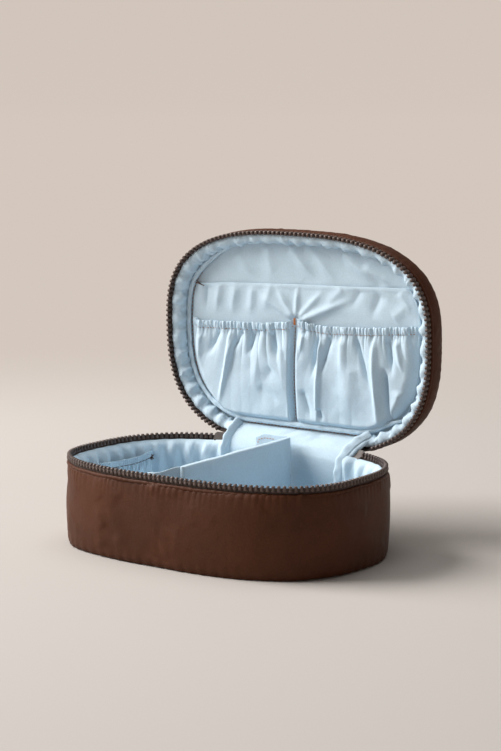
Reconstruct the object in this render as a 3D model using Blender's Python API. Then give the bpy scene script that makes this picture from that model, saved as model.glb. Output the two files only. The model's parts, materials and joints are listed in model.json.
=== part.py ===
"""Zippered travel pouch: a padded tray, a padded lid on a fabric hinge, pockets and a lift-out divider.

The origin is the middle of the base, on the surface that the pouch stands on. +X is to the right, +Y runs
back to the hinge and +Z is up. Lengths are in metres. The lid's pieces are laid out closed, on top of the
tray, and then swung open about the hinge line.
"""

import math

import bmesh
import bpy
from mathutils import Matrix, Vector

# Outline of the pouch from above: two superellipse halves that meet at the widest line, and a flat back
WIDTH = 0.2185
WIDEST_Y = -0.0083
FRONT_REACH = 0.0672
BACK_REACH = 0.0838
FRONT_POWER = 2.71
BACK_POWER = 2.85
BACK_Y = 0.0720
AROUND = 44  # steps from one end of the back to the other

# Heights
RIM_Z = 0.0608  # where the two rows of teeth meet
HINGE_Z = 0.0575
LID_DEPTH = 0.0200
LID_OPEN = math.radians(89)

# Layers
GAP = 0.0003
SHEET = 0.0008
SHELL = 0.0010
FLOOR_TOP = 0.0060
WALL_LINING = 0.0052  # how far the wall lining's outer face lies inside the outline
TEETH_HEIGHT = 0.0030
TAPE_IN = 0.0015

# Zip ends: the sliders are parked where the two rows part, beside the flat back
ZIP_START_X = 0.0636
SLIDER_X = 0.0568
SLIDER_LENGTH = 0.0115
SLIDER_WIDTH = 0.0075
SLIDER_THICK = 0.0046
SLIDER_PLATE = 0.0010
BAIL_RADIUS = 0.0006
BAIL_REACH = 0.0045
BAIL_HALF = 0.0030
RING_WIRE = 0.00045
RING_RADIUS = 0.00145
RING_LENGTH = 0.0040
TAB_LENGTH = 0.0240
TAB_WIDTH = 0.0064
TAB_THICK = 0.0012
TAB_HOLE = 0.0010

# Divider
DIVIDER_X = 0.0055
DIVIDER_THICK = 0.0050
DIVIDER_FRONT_Y = -0.0575
DIVIDER_BACK_Y = 0.0628
DIVIDER_BOTTOM_Z = 0.0064
DIVIDER_FRONT_TOP = 0.0642
DIVIDER_BACK_TOP = 0.0660
FLAP_END_X = -0.0225

# Pockets in the lid, measured from the hinge line along the lid, and behind the plane of the teeth
POCKET_SEAM_X = -0.0040
POCKET_BOTTOM = 0.0170
POCKET_TOP = 0.0782
ELASTIC_TOP = 0.0835
SLIP_TOP = 0.1100
POCKET_PROUD = 0.0046
POCKET_ROOT = 0.0100
PANEL_DEPTH = 0.0120

SHELL_BROWN = (0.085, 0.040, 0.024)
LINING_BLUE = (0.42, 0.56, 0.64)
FOAM_GREY = (0.55, 0.55, 0.53)
BOARD_GREY = (0.20, 0.20, 0.20)
TAPE_BROWN = (0.060, 0.040, 0.035)
TOOTH_BROWN = (0.100, 0.070, 0.060)
METAL_DARK = (0.160, 0.140, 0.135)


def clear_scene():
    for thing in list(bpy.data.objects):
        bpy.data.objects.remove(thing, do_unlink=True)


def make_material(name, colour, roughness, metallic=0.0):
    material = bpy.data.materials.new(name)
    material.use_nodes = True
    shader = material.node_tree.nodes["Principled BSDF"]
    shader.inputs["Base Color"].default_value = (*colour, 1.0)
    shader.inputs["Roughness"].default_value = roughness
    shader.inputs["Metallic"].default_value = metallic
    return material


# ---------------------------------------------------------------- outline


def outline(angle):
    """Outer outline at a parameter angle: 0 is right, 90 degrees is back, 180 is left and 270 is front."""
    at_back = math.sin(angle) > 0
    power = BACK_POWER if at_back else FRONT_POWER
    reach = BACK_REACH if at_back else FRONT_REACH
    across = math.copysign(abs(math.cos(angle)) ** (2 / power), math.cos(angle))
    along = math.copysign(abs(math.sin(angle)) ** (2 / power), math.sin(angle))
    return Vector((across * WIDTH / 2, WIDEST_Y + along * reach))


def inset_point(angle, inset):
    """Outline point moved inward, square to the outline."""
    step = 0.002
    tangent = outline(angle + step) - outline(angle - step)
    inward = Vector((-tangent.y, tangent.x)).normalized()
    return outline(angle) + inward * inset


def back_angle(x):
    """Parameter angle at which the back half of the outline has a given x, from 0 to half the width."""
    return math.acos((x / (WIDTH / 2)) ** (BACK_POWER / 2))


def seam_x():
    """Half the width of the flat back, where the outline meets it."""
    rise = (BACK_Y - WIDEST_Y) / BACK_REACH
    return WIDTH / 2 * (1 - rise**BACK_POWER) ** (1 / BACK_POWER)


def round_angles(start_x):
    """Angles from the right end of the back, round the front, to its left end."""
    start = back_angle(start_x)
    sweep = math.pi + 2 * start
    return [start - sweep * i / AROUND for i in range(AROUND + 1)]


def inset_half_width(y, inset):
    """Half the width of the inset outline at a given y, found by halving the angle."""
    low, high = -math.pi / 2, math.pi / 2
    for _ in range(40):
        middle = (low + high) / 2
        if inset_point(middle, inset).y < y:
            low = middle
        else:
            high = middle
    return inset_point(low, inset).x


def depth_z(depth):
    """Height, with the lid closed, of a point that lies a given depth behind the plane of the teeth."""
    return RIM_Z + depth


# ---------------------------------------------------------------- bodies and objects


class Body:
    """A rigid group: an empty at its pivot, to which its pieces are parented."""

    def __init__(self, name, pivot, rotation=(0, 0, 0)):
        self.pivot = Vector(pivot)
        self.empty = bpy.data.objects.new(name, None)
        self.empty.location = pivot
        self.empty.rotation_euler = rotation
        bpy.context.collection.objects.link(self.empty)


def add_object(name, mesh_bmesh, material, body, smooth=True):
    """Turns a bmesh, laid out in the closed pouch, into an object whose origin is its body's pivot."""
    bmesh.ops.translate(mesh_bmesh, verts=mesh_bmesh.verts, vec=-body.pivot)
    bmesh.ops.recalc_face_normals(mesh_bmesh, faces=mesh_bmesh.faces)
    mesh = bpy.data.meshes.new(name)
    mesh_bmesh.to_mesh(mesh)
    mesh_bmesh.free()
    mesh.materials.append(material)
    if smooth:
        mesh.shade_smooth()
        mesh.set_sharp_from_angle(angle=math.radians(35))
    thing = bpy.data.objects.new(name, mesh)
    thing.parent = body.empty
    bpy.context.collection.objects.link(thing)
    return thing


def box_mesh(low, high):
    work = bmesh.new()
    bmesh.ops.create_cube(work, size=1.0)
    low, high = Vector(low), Vector(high)
    size = high - low
    bmesh.ops.scale(work, vec=size, verts=work.verts)
    bmesh.ops.translate(work, vec=(low + high) / 2, verts=work.verts)
    return work


def add_box(name, low, high, material, body):
    return add_object(name, box_mesh(low, high), material, body, smooth=False)


def loft(rings, closed):
    """Joins rings of points in order; a closed loft joins the last ring to the first, an open one is capped."""
    work = bmesh.new()
    rows = [[work.verts.new(point) for point in ring] for ring in rings]
    count = len(rows[0])
    pairs = list(zip(rows, rows[1:]))
    if closed:
        pairs.append((rows[-1], rows[0]))
    for here, there in pairs:
        for i in range(count):
            j = (i + 1) % count
            work.faces.new((here[i], here[j], there[j], there[i]))
    if not closed:
        work.faces.new(rows[0])
        work.faces.new(list(reversed(rows[-1])))
    return work


def add_band(name, section, start_x, material, body, loop=False):
    """Sweeps a section, a list of (inset, z), round the outline from one end of the back to the other.

    A section can also be a function of the outline point, for a band whose shape changes near its ends.
    A loop carries on across the flat back.
    """
    rings = []
    for angle in round_angles(start_x):
        shape = section(outline(angle)) if callable(section) else section
        ring = []
        for inset, z in shape:
            point = inset_point(angle, inset)
            ring.append((point.x, point.y, z))
        rings.append(ring)
    return add_object(name, loft(rings, loop), material, body)


def add_stack(name, levels, material, body):
    """A plate of the pouch's own outline, from a list of (inset, z) levels, bottom to top."""
    rings = []
    for inset, z in levels:
        points = [inset_point(angle, inset) for angle in round_angles(seam_x())]
        rings.append([(point.x, point.y, z) for point in points])
    return add_object(name, loft(rings, False), material, body)


def rectangle(inset, thickness, low, high):
    return [(inset, low), (inset + thickness, low), (inset + thickness, high), (inset, high)]


def add_sheet(name, rows, thickness, material, body):
    """A solid sheet from rows of points; the thickness goes to the side away from the face normals."""
    work = bmesh.new()
    grid = [[work.verts.new(point) for point in row] for row in rows]
    for here, there in zip(grid, grid[1:]):
        for i in range(len(here) - 1):
            work.faces.new((here[i], here[i + 1], there[i + 1], there[i]))
    bmesh.ops.translate(work, verts=work.verts, vec=-body.pivot)
    mesh = bpy.data.meshes.new(name)
    work.to_mesh(mesh)
    work.free()
    mesh.materials.append(material)
    mesh.shade_smooth()
    thing = bpy.data.objects.new(name, mesh)
    thing.parent = body.empty
    bpy.context.collection.objects.link(thing)
    solid = thing.modifiers.new("thickness", "SOLIDIFY")
    solid.thickness = thickness
    solid.offset = -1
    return thing


def cut(thing, work, name, body):
    """Cuts a helper shape, given as a bmesh, out of an object."""
    cutter = add_object(name, work, thing.data.materials[0], body, smooth=False)
    cutter.hide_render = True
    cutter.display_type = "WIRE"
    boolean = thing.modifiers.new("cut", "BOOLEAN")
    boolean.operation = "DIFFERENCE"
    boolean.solver = "EXACT"
    boolean.object = cutter


def join(thing, helper):
    """Unites an object with a helper that touches it."""
    helper.hide_render = True
    helper.display_type = "WIRE"
    boolean = thing.modifiers.new("join", "BOOLEAN")
    boolean.operation = "UNION"
    boolean.solver = "EXACT"
    boolean.object = helper


# ---------------------------------------------------------------- tray


def tray_shell_section(point):
    """Outer wall of the tray, lower beside the sliders."""
    near_slider = point.y > 0 and abs(point.x) < ZIP_START_X
    top = 0.0520 if near_slider else 0.0543
    return rectangle(0.0, SHELL, 0.0014, top)


def make_tray(body, looks):
    shell, lining, foam = looks["shell"], looks["lining"], looks["foam"]
    add_stack("base_panel", [(0.0012, 0.0), (0.0012, 0.0010)], shell, body)
    add_stack("base_board", [(0.0022, 0.0013), (0.0022, 0.0025)], looks["board"], body)
    add_stack("base_foam", [(0.0022, 0.0028), (0.0022, 0.0049)], foam, body)
    add_stack("floor_lining", [(0.0064, 0.0052), (0.0064, FLOOR_TOP)], lining, body)
    add_band("tray_wall_shell", tray_shell_section, seam_x() + GAP, shell, body)
    add_band("tray_wall_foam", rectangle(0.0013, 0.0036, 0.0052, 0.0495), 0.0525, foam, body)
    add_band("tray_wall_lining", rectangle(WALL_LINING, SHEET, 0.0052, 0.0540), 0.0532, lining, body)
    add_band("tray_rim_welt", rectangle(-0.0002, 0.0013, 0.0546, 0.0568), ZIP_START_X, shell, body)

    half = seam_x() - 0.0002
    add_box("tray_back_shell", (-half, BACK_Y - SHELL, 0.0014), (half, BACK_Y, 0.0543), shell, body)
    add_box("tray_back_foam", (-0.0500, 0.0659, 0.0052), (0.0500, 0.0707, 0.0495), foam, body)
    add_box("tray_back_lining", (-0.0500, 0.0648, 0.0063), (0.0500, 0.0656, 0.0530), lining, body)
    for side, name in ((-1, "left"), (1, "right")):
        inner, outer = side * 0.0465, side * 0.0525
        low = (min(inner, outer), 0.0638, 0.0065)
        high = (max(inner, outer), 0.0645, 0.0550)
        add_box(f"back_seam_binding_{name}", low, high, lining, body)


def make_tray_zip(body, looks):
    tape_top = RIM_Z - GAP - TEETH_HEIGHT - GAP
    add_band("tray_zip_tape", rectangle(TAPE_IN, 0.0007, 0.0502, tape_top), ZIP_START_X, looks["tape"], body)
    low = tape_top + GAP
    high = RIM_Z - GAP
    bead = [(0.0008, low), (0.0029, low), (0.0032, low + 0.0010), (0.0024, high), (0.0013, high)]
    bead.append((0.0005, low + 0.0010))
    add_band("tray_zip_teeth", bead, ZIP_START_X, looks["teeth"], body)
    for side, name in ((-1, "left"), (1, "right")):
        inner, outer = side * 0.0486, side * 0.0502
        low_corner = (min(inner, outer), BACK_Y - 0.0016, HINGE_Z - 0.0032)
        high_corner = (max(inner, outer), BACK_Y - 0.0004, HINGE_Z + 0.0032)
        add_box(f"zip_end_{name}", low_corner, high_corner, looks["tape"], body)


def make_hinge(body, looks):
    """The strips of fabric on which the lid swings, narrow enough for the lid to turn round them."""
    low, high = HINGE_Z - 0.0028, HINGE_Z + 0.0048
    add_box("hinge_outer_fabric", (-0.0483, BACK_Y - SHELL, low), (0.0483, BACK_Y, high), looks["shell"], body)
    low, high = HINGE_Z - 0.0040, HINGE_Z + 0.0025
    add_box("hinge_lining", (-0.0460, 0.0655, low), (0.0460, 0.0663, high), looks["lining"], body)


def end_pocket_rows(heights):
    """Rows of the gathered pocket on the tray's left end: it bulges into the tray and is sewn down all round."""
    first, last = math.pi - 0.62, math.pi + 0.30
    steps = 12
    rows = []
    for z in heights:
        fullness = min(1.0, 0.15 + (z - 0.0085) / 0.0180)
        row = []
        for i in range(steps + 1):
            share = i / steps
            bulge = 0.0105 * math.sin(math.pi * share) ** 0.8 * fullness
            point = inset_point(first + (last - first) * share, WALL_LINING + SHEET + 0.0011 + bulge)
            row.append((point.x, point.y, z))
        rows.append(row)
    return rows


def make_tray_fittings(body, looks):
    lining = looks["lining"]
    pocket_heights = [0.0085, 0.0125, 0.0180, 0.0250, 0.0350, 0.0455]
    add_sheet("end_pocket", end_pocket_rows(pocket_heights), 0.0007, lining, body)
    add_sheet("end_pocket_elastic", end_pocket_rows([0.0459, 0.0503]), 0.0007, looks["elastic"], body)
    low, high = (-0.0215, 0.0637, 0.0160), (0.0022, 0.0645, 0.0520)
    add_box("back_loop_patch", low, high, looks["patch"], body)
    low, high = (-0.0240, -0.0687, 0.0160), (-0.0090, -0.0679, 0.0520)
    add_box("front_loop_patch", low, high, looks["patch"], body)


# ---------------------------------------------------------------- divider


def divider_block(margin, bottom):
    """The divider's slab, its top edge rising to the back; a margin shrinks it for what is inside."""
    half = DIVIDER_THICK / 2 - margin
    front, back = DIVIDER_FRONT_Y + margin, DIVIDER_BACK_Y - margin
    front_top, back_top = DIVIDER_FRONT_TOP - margin, DIVIDER_BACK_TOP - margin
    rings = []
    for x in (DIVIDER_X - half, DIVIDER_X + half):
        rings.append([(x, front, bottom), (x, back, bottom), (x, back, back_top), (x, front, front_top)])
    return loft(rings, False)


def make_divider(body, looks):
    bottom = DIVIDER_BOTTOM_Z
    cover = add_object("divider_cover", divider_block(0.0, bottom), looks["lining"], body, smooth=False)
    cut(cover, divider_block(SHEET, bottom - 0.0050), "divider_hollow", body)
    add_object("divider_core", divider_block(SHEET + GAP, bottom + GAP), looks["foam"], body, smooth=False)

    face_x = DIVIDER_X - DIVIDER_THICK / 2 - GAP
    low, high = (FLAP_END_X, 0.0626, 0.0150), (face_x, 0.0634, 0.0640)
    add_box("divider_back_flap", low, high, looks["lining"], body)
    bend_x = -0.0065
    wall_y = -0.0675
    path = [(face_x, DIVIDER_FRONT_Y), (bend_x, wall_y), (FLAP_END_X, wall_y)]
    rings = []
    for x, y in path:
        shift = SHEET / 2
        ring = [(x - shift, y, 0.0150), (x + shift * 0.6, y + SHEET, 0.0150)]
        ring += [(x + shift * 0.6, y + SHEET, 0.0620), (x - shift, y, 0.0620)]
        rings.append(ring)
    add_object("divider_front_flap", loft(rings, False), looks["lining"], body, smooth=False)


# ---------------------------------------------------------------- lid


def make_lid_shell(body, looks):
    shell, foam = looks["shell"], looks["foam"]
    top = depth_z(LID_DEPTH)
    levels = [(0.0008, top - 0.0020), (0.0020, top - 0.0006), (0.0060, top)]
    add_stack("lid_top_panel", levels, shell, body)
    low, high = depth_z(0.0070), top - 0.0024
    add_band("lid_wall_shell", rectangle(0.0, SHELL, low, high), seam_x() + GAP, shell, body)
    half = seam_x() - 0.0002
    add_box("lid_back_shell", (-half, BACK_Y - SHELL, low), (half, BACK_Y, high), shell, body)
    welt = rectangle(-0.0002, 0.0013, depth_z(0.0045), depth_z(0.0067))
    add_band("lid_rim_welt", welt, ZIP_START_X, shell, body)
    board = [(0.0024, depth_z(0.0163)), (0.0024, depth_z(0.0175))]
    add_stack("lid_board", board, looks["board"], body)
    add_stack("lid_panel_foam", [(0.0024, depth_z(0.0132)), (0.0024, depth_z(0.0160))], foam, body)
    wall_foam = rectangle(0.0026, 0.0024, depth_z(0.0074), depth_z(0.0129))
    add_band("lid_wall_foam", wall_foam, 0.0525, foam, body)


def make_lid_zip(body, looks):
    low = RIM_Z + GAP
    high = low + TEETH_HEIGHT
    bead = [(0.0013, low), (0.0024, low), (0.0032, high - 0.0010), (0.0029, high), (0.0008, high)]
    bead.append((0.0005, high - 0.0010))
    add_band("lid_zip_teeth", bead, ZIP_START_X, looks["teeth"], body)
    tape = rectangle(TAPE_IN, 0.0007, high + GAP, depth_z(0.0104))
    add_band("lid_zip_tape", tape, ZIP_START_X, looks["tape"], body)


def make_lid_lining(body, looks):
    lining = looks["lining"]
    slope = [(0.0028, depth_z(0.0049)), (0.0114, depth_z(0.0104)), (0.0114, depth_z(0.0112))]
    slope.append((0.0028, depth_z(0.0057)))
    add_band("lid_wall_lining", slope, 0.0535, lining, body)
    panel = [(0.0119, depth_z(PANEL_DEPTH)), (0.0119, depth_z(PANEL_DEPTH + SHEET))]
    add_stack("lid_panel_lining", panel, lining, body)
    ring = rectangle(0.0117, 0.0030, depth_z(0.0110), depth_z(0.0117))
    add_band("lid_seam_binding", ring, seam_x(), lining, body, loop=True)


def pocket_rows(side, distances):
    """Rows of a gathered pocket in the lid, from its bottom seam up; side is -1 for left and 1 for right."""
    steps = 12
    rows = []
    for distance in distances:
        y = BACK_Y - distance
        seam = POCKET_SEAM_X + side * 0.0004
        reach = side * (inset_half_width(y, 0.0156) - 0.0002)
        lift = min(1.0, (distance - POCKET_BOTTOM) / 0.0130)
        row = []
        for i in range(steps + 1):
            share = i / steps
            x = seam + (reach - seam) * share
            ramp = min(1.0, abs(x - seam) / 0.0160, abs(reach - x) / 0.0140)
            depth = POCKET_ROOT - (POCKET_ROOT - POCKET_PROUD) * ramp * lift
            row.append((x, y, depth_z(depth)))
        rows.append(row if side < 0 else list(reversed(row)))
    return rows


def clip_below(points, y_limit):
    """The part of a convex outline on the far side of a line of constant y."""
    kept = []
    for here, there in zip(points, points[1:] + points[:1]):
        if here.y >= y_limit:
            kept.append(here)
        if (here.y >= y_limit) != (there.y >= y_limit):
            share = (y_limit - here.y) / (there.y - here.y)
            kept.append(here.lerp(there, share))
    return kept


def make_lid_pockets(body, looks):
    lining = looks["lining"]
    outline_points = [inset_point(angle, 0.0151) for angle in round_angles(seam_x())]
    panel = clip_below(outline_points, BACK_Y - SLIP_TOP)
    rings = [[(p.x, p.y, depth_z(depth)) for p in panel] for depth in (0.0110, 0.0116)]
    add_object("slip_pocket", loft(rings, False), lining, body)
    steps = 6
    rise = POCKET_TOP - POCKET_BOTTOM
    distances = [POCKET_BOTTOM + rise * (i / steps) ** 1.4 for i in range(steps + 1)]
    for side, name in ((-1, "left"), (1, "right")):
        rows = pocket_rows(side, distances)
        add_sheet(f"gathered_pocket_{name}", rows, 0.0007, lining, body)
        rows = pocket_rows(side, [POCKET_TOP + 0.0004, ELASTIC_TOP])
        add_sheet(f"pocket_elastic_{name}", rows, 0.0007, looks["elastic"], body)


# ---------------------------------------------------------------- sliders and pulls


def tube_mesh(points, radius, closed, sides=8, across=Vector((1, 0, 0))):
    """A round wire along points that all lie square to one direction."""
    rings = []
    count = len(points)
    for i, point in enumerate(points):
        before = points[(i - 1) % count] if closed or i > 0 else point
        after = points[(i + 1) % count] if closed or i < count - 1 else point
        normal = (after - before).normalized().cross(across).normalized()
        ring = []
        for k in range(sides):
            turn = 2 * math.pi * k / sides
            ring.append(point + across * (radius * math.cos(turn)) + normal * (radius * math.sin(turn)))
        rings.append(ring)
    return loft(rings, closed)


def slider_plate(low_y, high_y):
    """A slider's wing plate, narrower at the end where the teeth are joined."""
    half_x, half_z = SLIDER_LENGTH / 2, SLIDER_WIDTH / 2
    shape = [(-half_x, -0.62 * half_z), (-0.10 * half_x, -half_z), (0.75 * half_x, -half_z)]
    shape += [(half_x, -0.60 * half_z), (half_x, 0.60 * half_z), (0.75 * half_x, half_z)]
    shape += [(-0.10 * half_x, half_z), (-half_x, 0.62 * half_z)]
    rings = [[(x, y, z) for x, z in shape] for y in (low_y, high_y)]
    return loft(rings, False)


def mirror_x(work):
    bmesh.ops.scale(work, vec=(-1, 1, 1), verts=work.verts)
    return work


def make_slider(name, side, looks):
    """One slider at its parking place, with the ring that hangs on its bail and the tab that hangs on the ring.

    In the slider's own frame X runs along the zip, Y out through the bail and Z across the zip.
    """
    angle = back_angle(SLIDER_X)
    ahead = outline(angle - 0.01) - outline(angle + 0.01)
    yaw = math.atan2(ahead.y, ahead.x)
    place = outline(angle)
    turn = side * yaw
    half_thick = SLIDER_THICK / 2
    tilt = math.radians(-45)
    frame = Body(f"slider_{name}_place", (side * place.x, place.y - 0.0003, HINGE_Z), (tilt, 0, turn))
    local = Body(f"slider_{name}_local", (0, 0, 0))
    local.empty.parent = frame.empty

    top = slider_plate(half_thick - SLIDER_PLATE, half_thick)
    bottom = slider_plate(-half_thick, -half_thick + SLIDER_PLATE)
    neck = box_mesh((0.0016, -half_thick + 0.0005, -0.0010), (0.0052, half_thick - 0.0005, 0.0010))
    bail_path = [Vector((BAIL_HALF, half_thick - 0.0005, 0)), Vector((BAIL_HALF, BAIL_REACH - 0.0007, 0))]
    bail_path += [Vector((BAIL_HALF - 0.0007, BAIL_REACH, 0)), Vector((0.0007 - BAIL_HALF, BAIL_REACH, 0))]
    bail_path += [Vector((-BAIL_HALF, BAIL_REACH - 0.0007, 0)), Vector((-BAIL_HALF, half_thick - 0.0005, 0))]
    bail = tube_mesh(bail_path, BAIL_RADIUS, False, across=Vector((0, 0, 1)))
    shapes = [top, bottom, neck, bail]
    if side < 0:
        shapes = [mirror_x(work) for work in shapes]
    slider = add_object(f"slider_{name}", shapes[0], looks["metal"], local, smooth=False)
    for work, label in zip(shapes[1:], ("plate", "neck", "bail")):
        helper = add_object(f"slider_{name}_{label}_helper", work, looks["metal"], local, smooth=False)
        join(slider, helper)

    spin = Matrix.Rotation(turn, 3, "Z") @ Matrix.Rotation(tilt, 3, "X")
    pivot = frame.pivot + spin @ Vector((0, BAIL_REACH, 0))
    ring_body = Body(f"ring_{name}_pivot", pivot, (0, 0, turn))
    ring_points = []
    for i in range(16):
        around = 2 * math.pi * (i + 0.5) / 16
        drop = 0.0 if math.sin(around) > 0 else -RING_LENGTH
        ring_points.append(Vector((0, RING_RADIUS * math.cos(around), RING_RADIUS * math.sin(around) + drop)))
    ring = tube_mesh(ring_points, RING_WIRE, True)
    bmesh.ops.translate(ring, vec=ring_body.pivot, verts=ring.verts)
    add_object(f"pull_ring_{name}", ring, looks["metal"], ring_body)

    hole_z = -RING_LENGTH - RING_RADIUS
    tab_pivot = pivot + Vector((0, 0, hole_z))
    tab_body = Body(f"tab_{name}_pivot", tab_pivot, (0, 0, turn))
    tab = tab_mesh()
    bmesh.ops.translate(tab, vec=tab_body.pivot, verts=tab.verts)
    add_object(f"pull_tab_{name}", tab, looks["leather"], tab_body, smooth=False)


def tab_mesh():
    """A flat tab with a rounded foot and a round eye at its top, about which it hangs."""
    half = TAB_WIDTH / 2
    arc = 16
    outer = []
    for i in range(arc):
        turn = 2 * math.pi * i / arc
        down = math.sin(turn) < 0
        reach = half if down else 0.0030
        drop = -(TAB_LENGTH - half) if down else 0.0
        width = half if down else 0.0030
        outer.append((width * math.cos(turn), reach * math.sin(turn) + drop))
    turns = [2 * math.pi * i / arc for i in range(arc)]
    inner = [(TAB_HOLE * math.cos(turn), TAB_HOLE * math.sin(turn)) for turn in turns]
    work = bmesh.new()
    sides = []
    for y in (-TAB_THICK / 2, TAB_THICK / 2):
        outside = [work.verts.new((x, y, z)) for x, z in outer]
        inside = [work.verts.new((x, y, z)) for x, z in inner]
        sides.append((outside, inside))
        for i in range(arc):
            j = (i + 1) % arc
            work.faces.new((outside[i], outside[j], inside[j], inside[i]))
    for ring in (0, 1):
        near, far = sides[0][ring], sides[1][ring]
        for i in range(arc):
            j = (i + 1) % arc
            work.faces.new((near[i], near[j], far[j], far[i]))
    return work


def main():
    clear_scene()
    looks = {
        "shell": make_material("shell_fabric", SHELL_BROWN, 0.62),
        "lining": make_material("lining_fabric", LINING_BLUE, 0.80),
        "elastic": make_material("elastic_casing", LINING_BLUE, 0.85),
        "patch": make_material("loop_tape", LINING_BLUE, 0.95),
        "foam": make_material("foam", FOAM_GREY, 0.95),
        "board": make_material("board", BOARD_GREY, 0.60),
        "tape": make_material("zip_tape", TAPE_BROWN, 0.80),
        "teeth": make_material("zip_teeth", TOOTH_BROWN, 0.42),
        "metal": make_material("dark_metal", METAL_DARK, 0.35, 1.0),
        "leather": make_material("pull_leather", SHELL_BROWN, 0.55),
    }
    tray = Body("tray_origin", (0, 0, 0))
    make_tray(tray, looks)
    make_tray_zip(tray, looks)
    make_hinge(tray, looks)
    make_tray_fittings(tray, looks)
    make_divider(Body("divider_seat", (DIVIDER_X, 0, DIVIDER_BOTTOM_Z)), looks)
    lid = Body("lid_hinge", (0, BACK_Y, HINGE_Z), (-LID_OPEN, 0, 0))
    make_lid_shell(lid, looks)
    make_lid_zip(lid, looks)
    make_lid_lining(lid, looks)
    make_lid_pockets(lid, looks)
    make_slider("left", -1, looks)
    make_slider("right", 1, looks)


main()
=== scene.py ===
"""Looks of the zippered travel pouch: fabric, zip, stitching and studio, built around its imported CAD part.

Lengths are in metres. The lid's pieces are laid out in the closed pouch, where a point has an x, a distance v
from the hinge line towards the front and a depth d behind the plane of the teeth, and are then swung open.
"""

import json
import math

import bpy
import numpy as np
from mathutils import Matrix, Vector


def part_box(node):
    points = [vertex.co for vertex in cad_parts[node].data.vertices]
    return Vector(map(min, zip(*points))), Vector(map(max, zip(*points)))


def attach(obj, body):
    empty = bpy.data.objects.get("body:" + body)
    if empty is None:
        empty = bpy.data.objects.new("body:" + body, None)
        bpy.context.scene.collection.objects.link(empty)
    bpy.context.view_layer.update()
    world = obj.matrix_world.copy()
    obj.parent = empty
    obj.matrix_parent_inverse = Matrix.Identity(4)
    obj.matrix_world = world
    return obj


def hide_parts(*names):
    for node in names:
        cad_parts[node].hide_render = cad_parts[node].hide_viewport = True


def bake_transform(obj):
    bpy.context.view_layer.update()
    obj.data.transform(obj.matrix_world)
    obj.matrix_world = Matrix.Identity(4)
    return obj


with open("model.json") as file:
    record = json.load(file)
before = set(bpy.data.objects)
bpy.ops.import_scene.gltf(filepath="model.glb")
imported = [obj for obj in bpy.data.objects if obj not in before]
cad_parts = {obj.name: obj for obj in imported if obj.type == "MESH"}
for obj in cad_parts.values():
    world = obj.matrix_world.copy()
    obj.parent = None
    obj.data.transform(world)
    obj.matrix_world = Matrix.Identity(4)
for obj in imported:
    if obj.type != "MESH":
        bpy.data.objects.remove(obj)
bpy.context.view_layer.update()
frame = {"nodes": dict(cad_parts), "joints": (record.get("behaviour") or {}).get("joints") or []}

MM = 0.001
PI = math.pi

# ---------------------------------------------------------------- sizes, read from the frame where it has them

HINGE = next(joint for joint in frame["joints"] if joint["name"] == "lid_hinge")
HINGE_Y, HINGE_Z = HINGE["pos_m"][1], HINGE["pos_m"][2]
LID_OPEN = -math.radians(HINGE["range_deg"][0])

HALF_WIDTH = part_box("tray_wall_shell")[1].x
FRONT_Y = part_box("tray_wall_shell")[0].y
BACK_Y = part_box("tray_back_shell")[1].y
RIM_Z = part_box("tray_zip_teeth")[1].z + 0.3 * MM  # plane where the two rows of teeth meet
FLOOR_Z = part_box("floor_lining")[0].z
DIVIDER_LOW, DIVIDER_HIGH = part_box("divider_cover")
BACK_FLAP_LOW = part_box("divider_back_flap")[0]
FRONT_FLAP_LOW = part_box("divider_front_flap")[0]

# Shape of the outline: superellipse powers and the line where the pouch is widest
WIDEST_Y = -0.0083
FRONT_POWER = 2.71
BACK_POWER = 2.85
BACK_REACH = 0.0838

PITCH = 3.6 * MM  # from one tooth to the next
ZIP_END_X = 63.6 * MM
TAPE_LOW_Z = 50.5 * MM
WELT_Z = 54.6 * MM
WALL_FOLD_TOP = 53.5 * MM

LID_DEPTH = 20 * MM
PANEL_D = 12.4 * MM  # depth of the lid's inner panel behind the teeth
SLIP_LOW_V = 13.5 * MM
LEFT_EXTRA = 3.4 * MM  # how much wider the ring inside the lid is on its left
STAR = (-4.2 * MM, 86.0 * MM)  # x and v of the tack that holds the middle of the elastic

TOWARDS = {"tray": 1, "lid": -1}  # which way a row of teeth points

# ---------------------------------------------------------------- numbers and noise

LATTICE = np.random.RandomState(11).rand(32, 32, 32)


def smooth(value):
    """0 below 0, 1 above 1, and an even turn between."""
    value = np.clip(value, 0.0, 1.0)
    return value * value * (3 - 2 * value)


def faded(share, reach):
    """0 at both ends of a share from 0 to 1, and 1 from this reach inwards."""
    return smooth(share / reach) * smooth((1 - share) / reach)


def peak(value, middle, width):
    """A bell of height 1 round the middle."""
    return np.exp(-(((value - middle) / width) ** 2))


def noise(points, size, seed=0):
    """Smooth noise from -1 to 1 in space; size is the distance between its bumps."""
    place = np.asarray(points) / size + seed * 7.31
    cell = np.floor(place).astype(int)
    part = place - cell
    part = part * part * (3 - 2 * part)
    total = 0.0
    for corner in np.ndindex(2, 2, 2):
        weight = 1.0
        for axis in range(3):
            share = part[..., axis]
            weight = weight * (share if corner[axis] else 1 - share)
        index = (cell + np.array(corner)) % 32
        total = total + weight * LATTICE[index[..., 0], index[..., 1], index[..., 2]]
    return total * 2 - 1


def flat_noise(u, v, size, seed):
    """The same noise over a plane."""
    return noise(np.stack([u, v, u * 0], -1), size, seed)


def creases(u, v, lines):
    """Sum of soft folds; each line is (u, v at its start, u, v at its end, half width, height)."""
    total = np.zeros(np.broadcast(u, v).shape)
    for u0, v0, u1, v1, width, height in lines:
        du, dv = u1 - u0, v1 - v0
        length = math.hypot(du, dv)
        along = ((u - u0) * du + (v - v0) * dv) / length**2
        across = ((u - u0) * dv - (v - v0) * du) / length
        taper = smooth(along / 0.2) * smooth((1 - along) / 0.5)
        total += height * np.exp(-np.abs(across / width) ** 1.6) * taper
    return total


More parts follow.
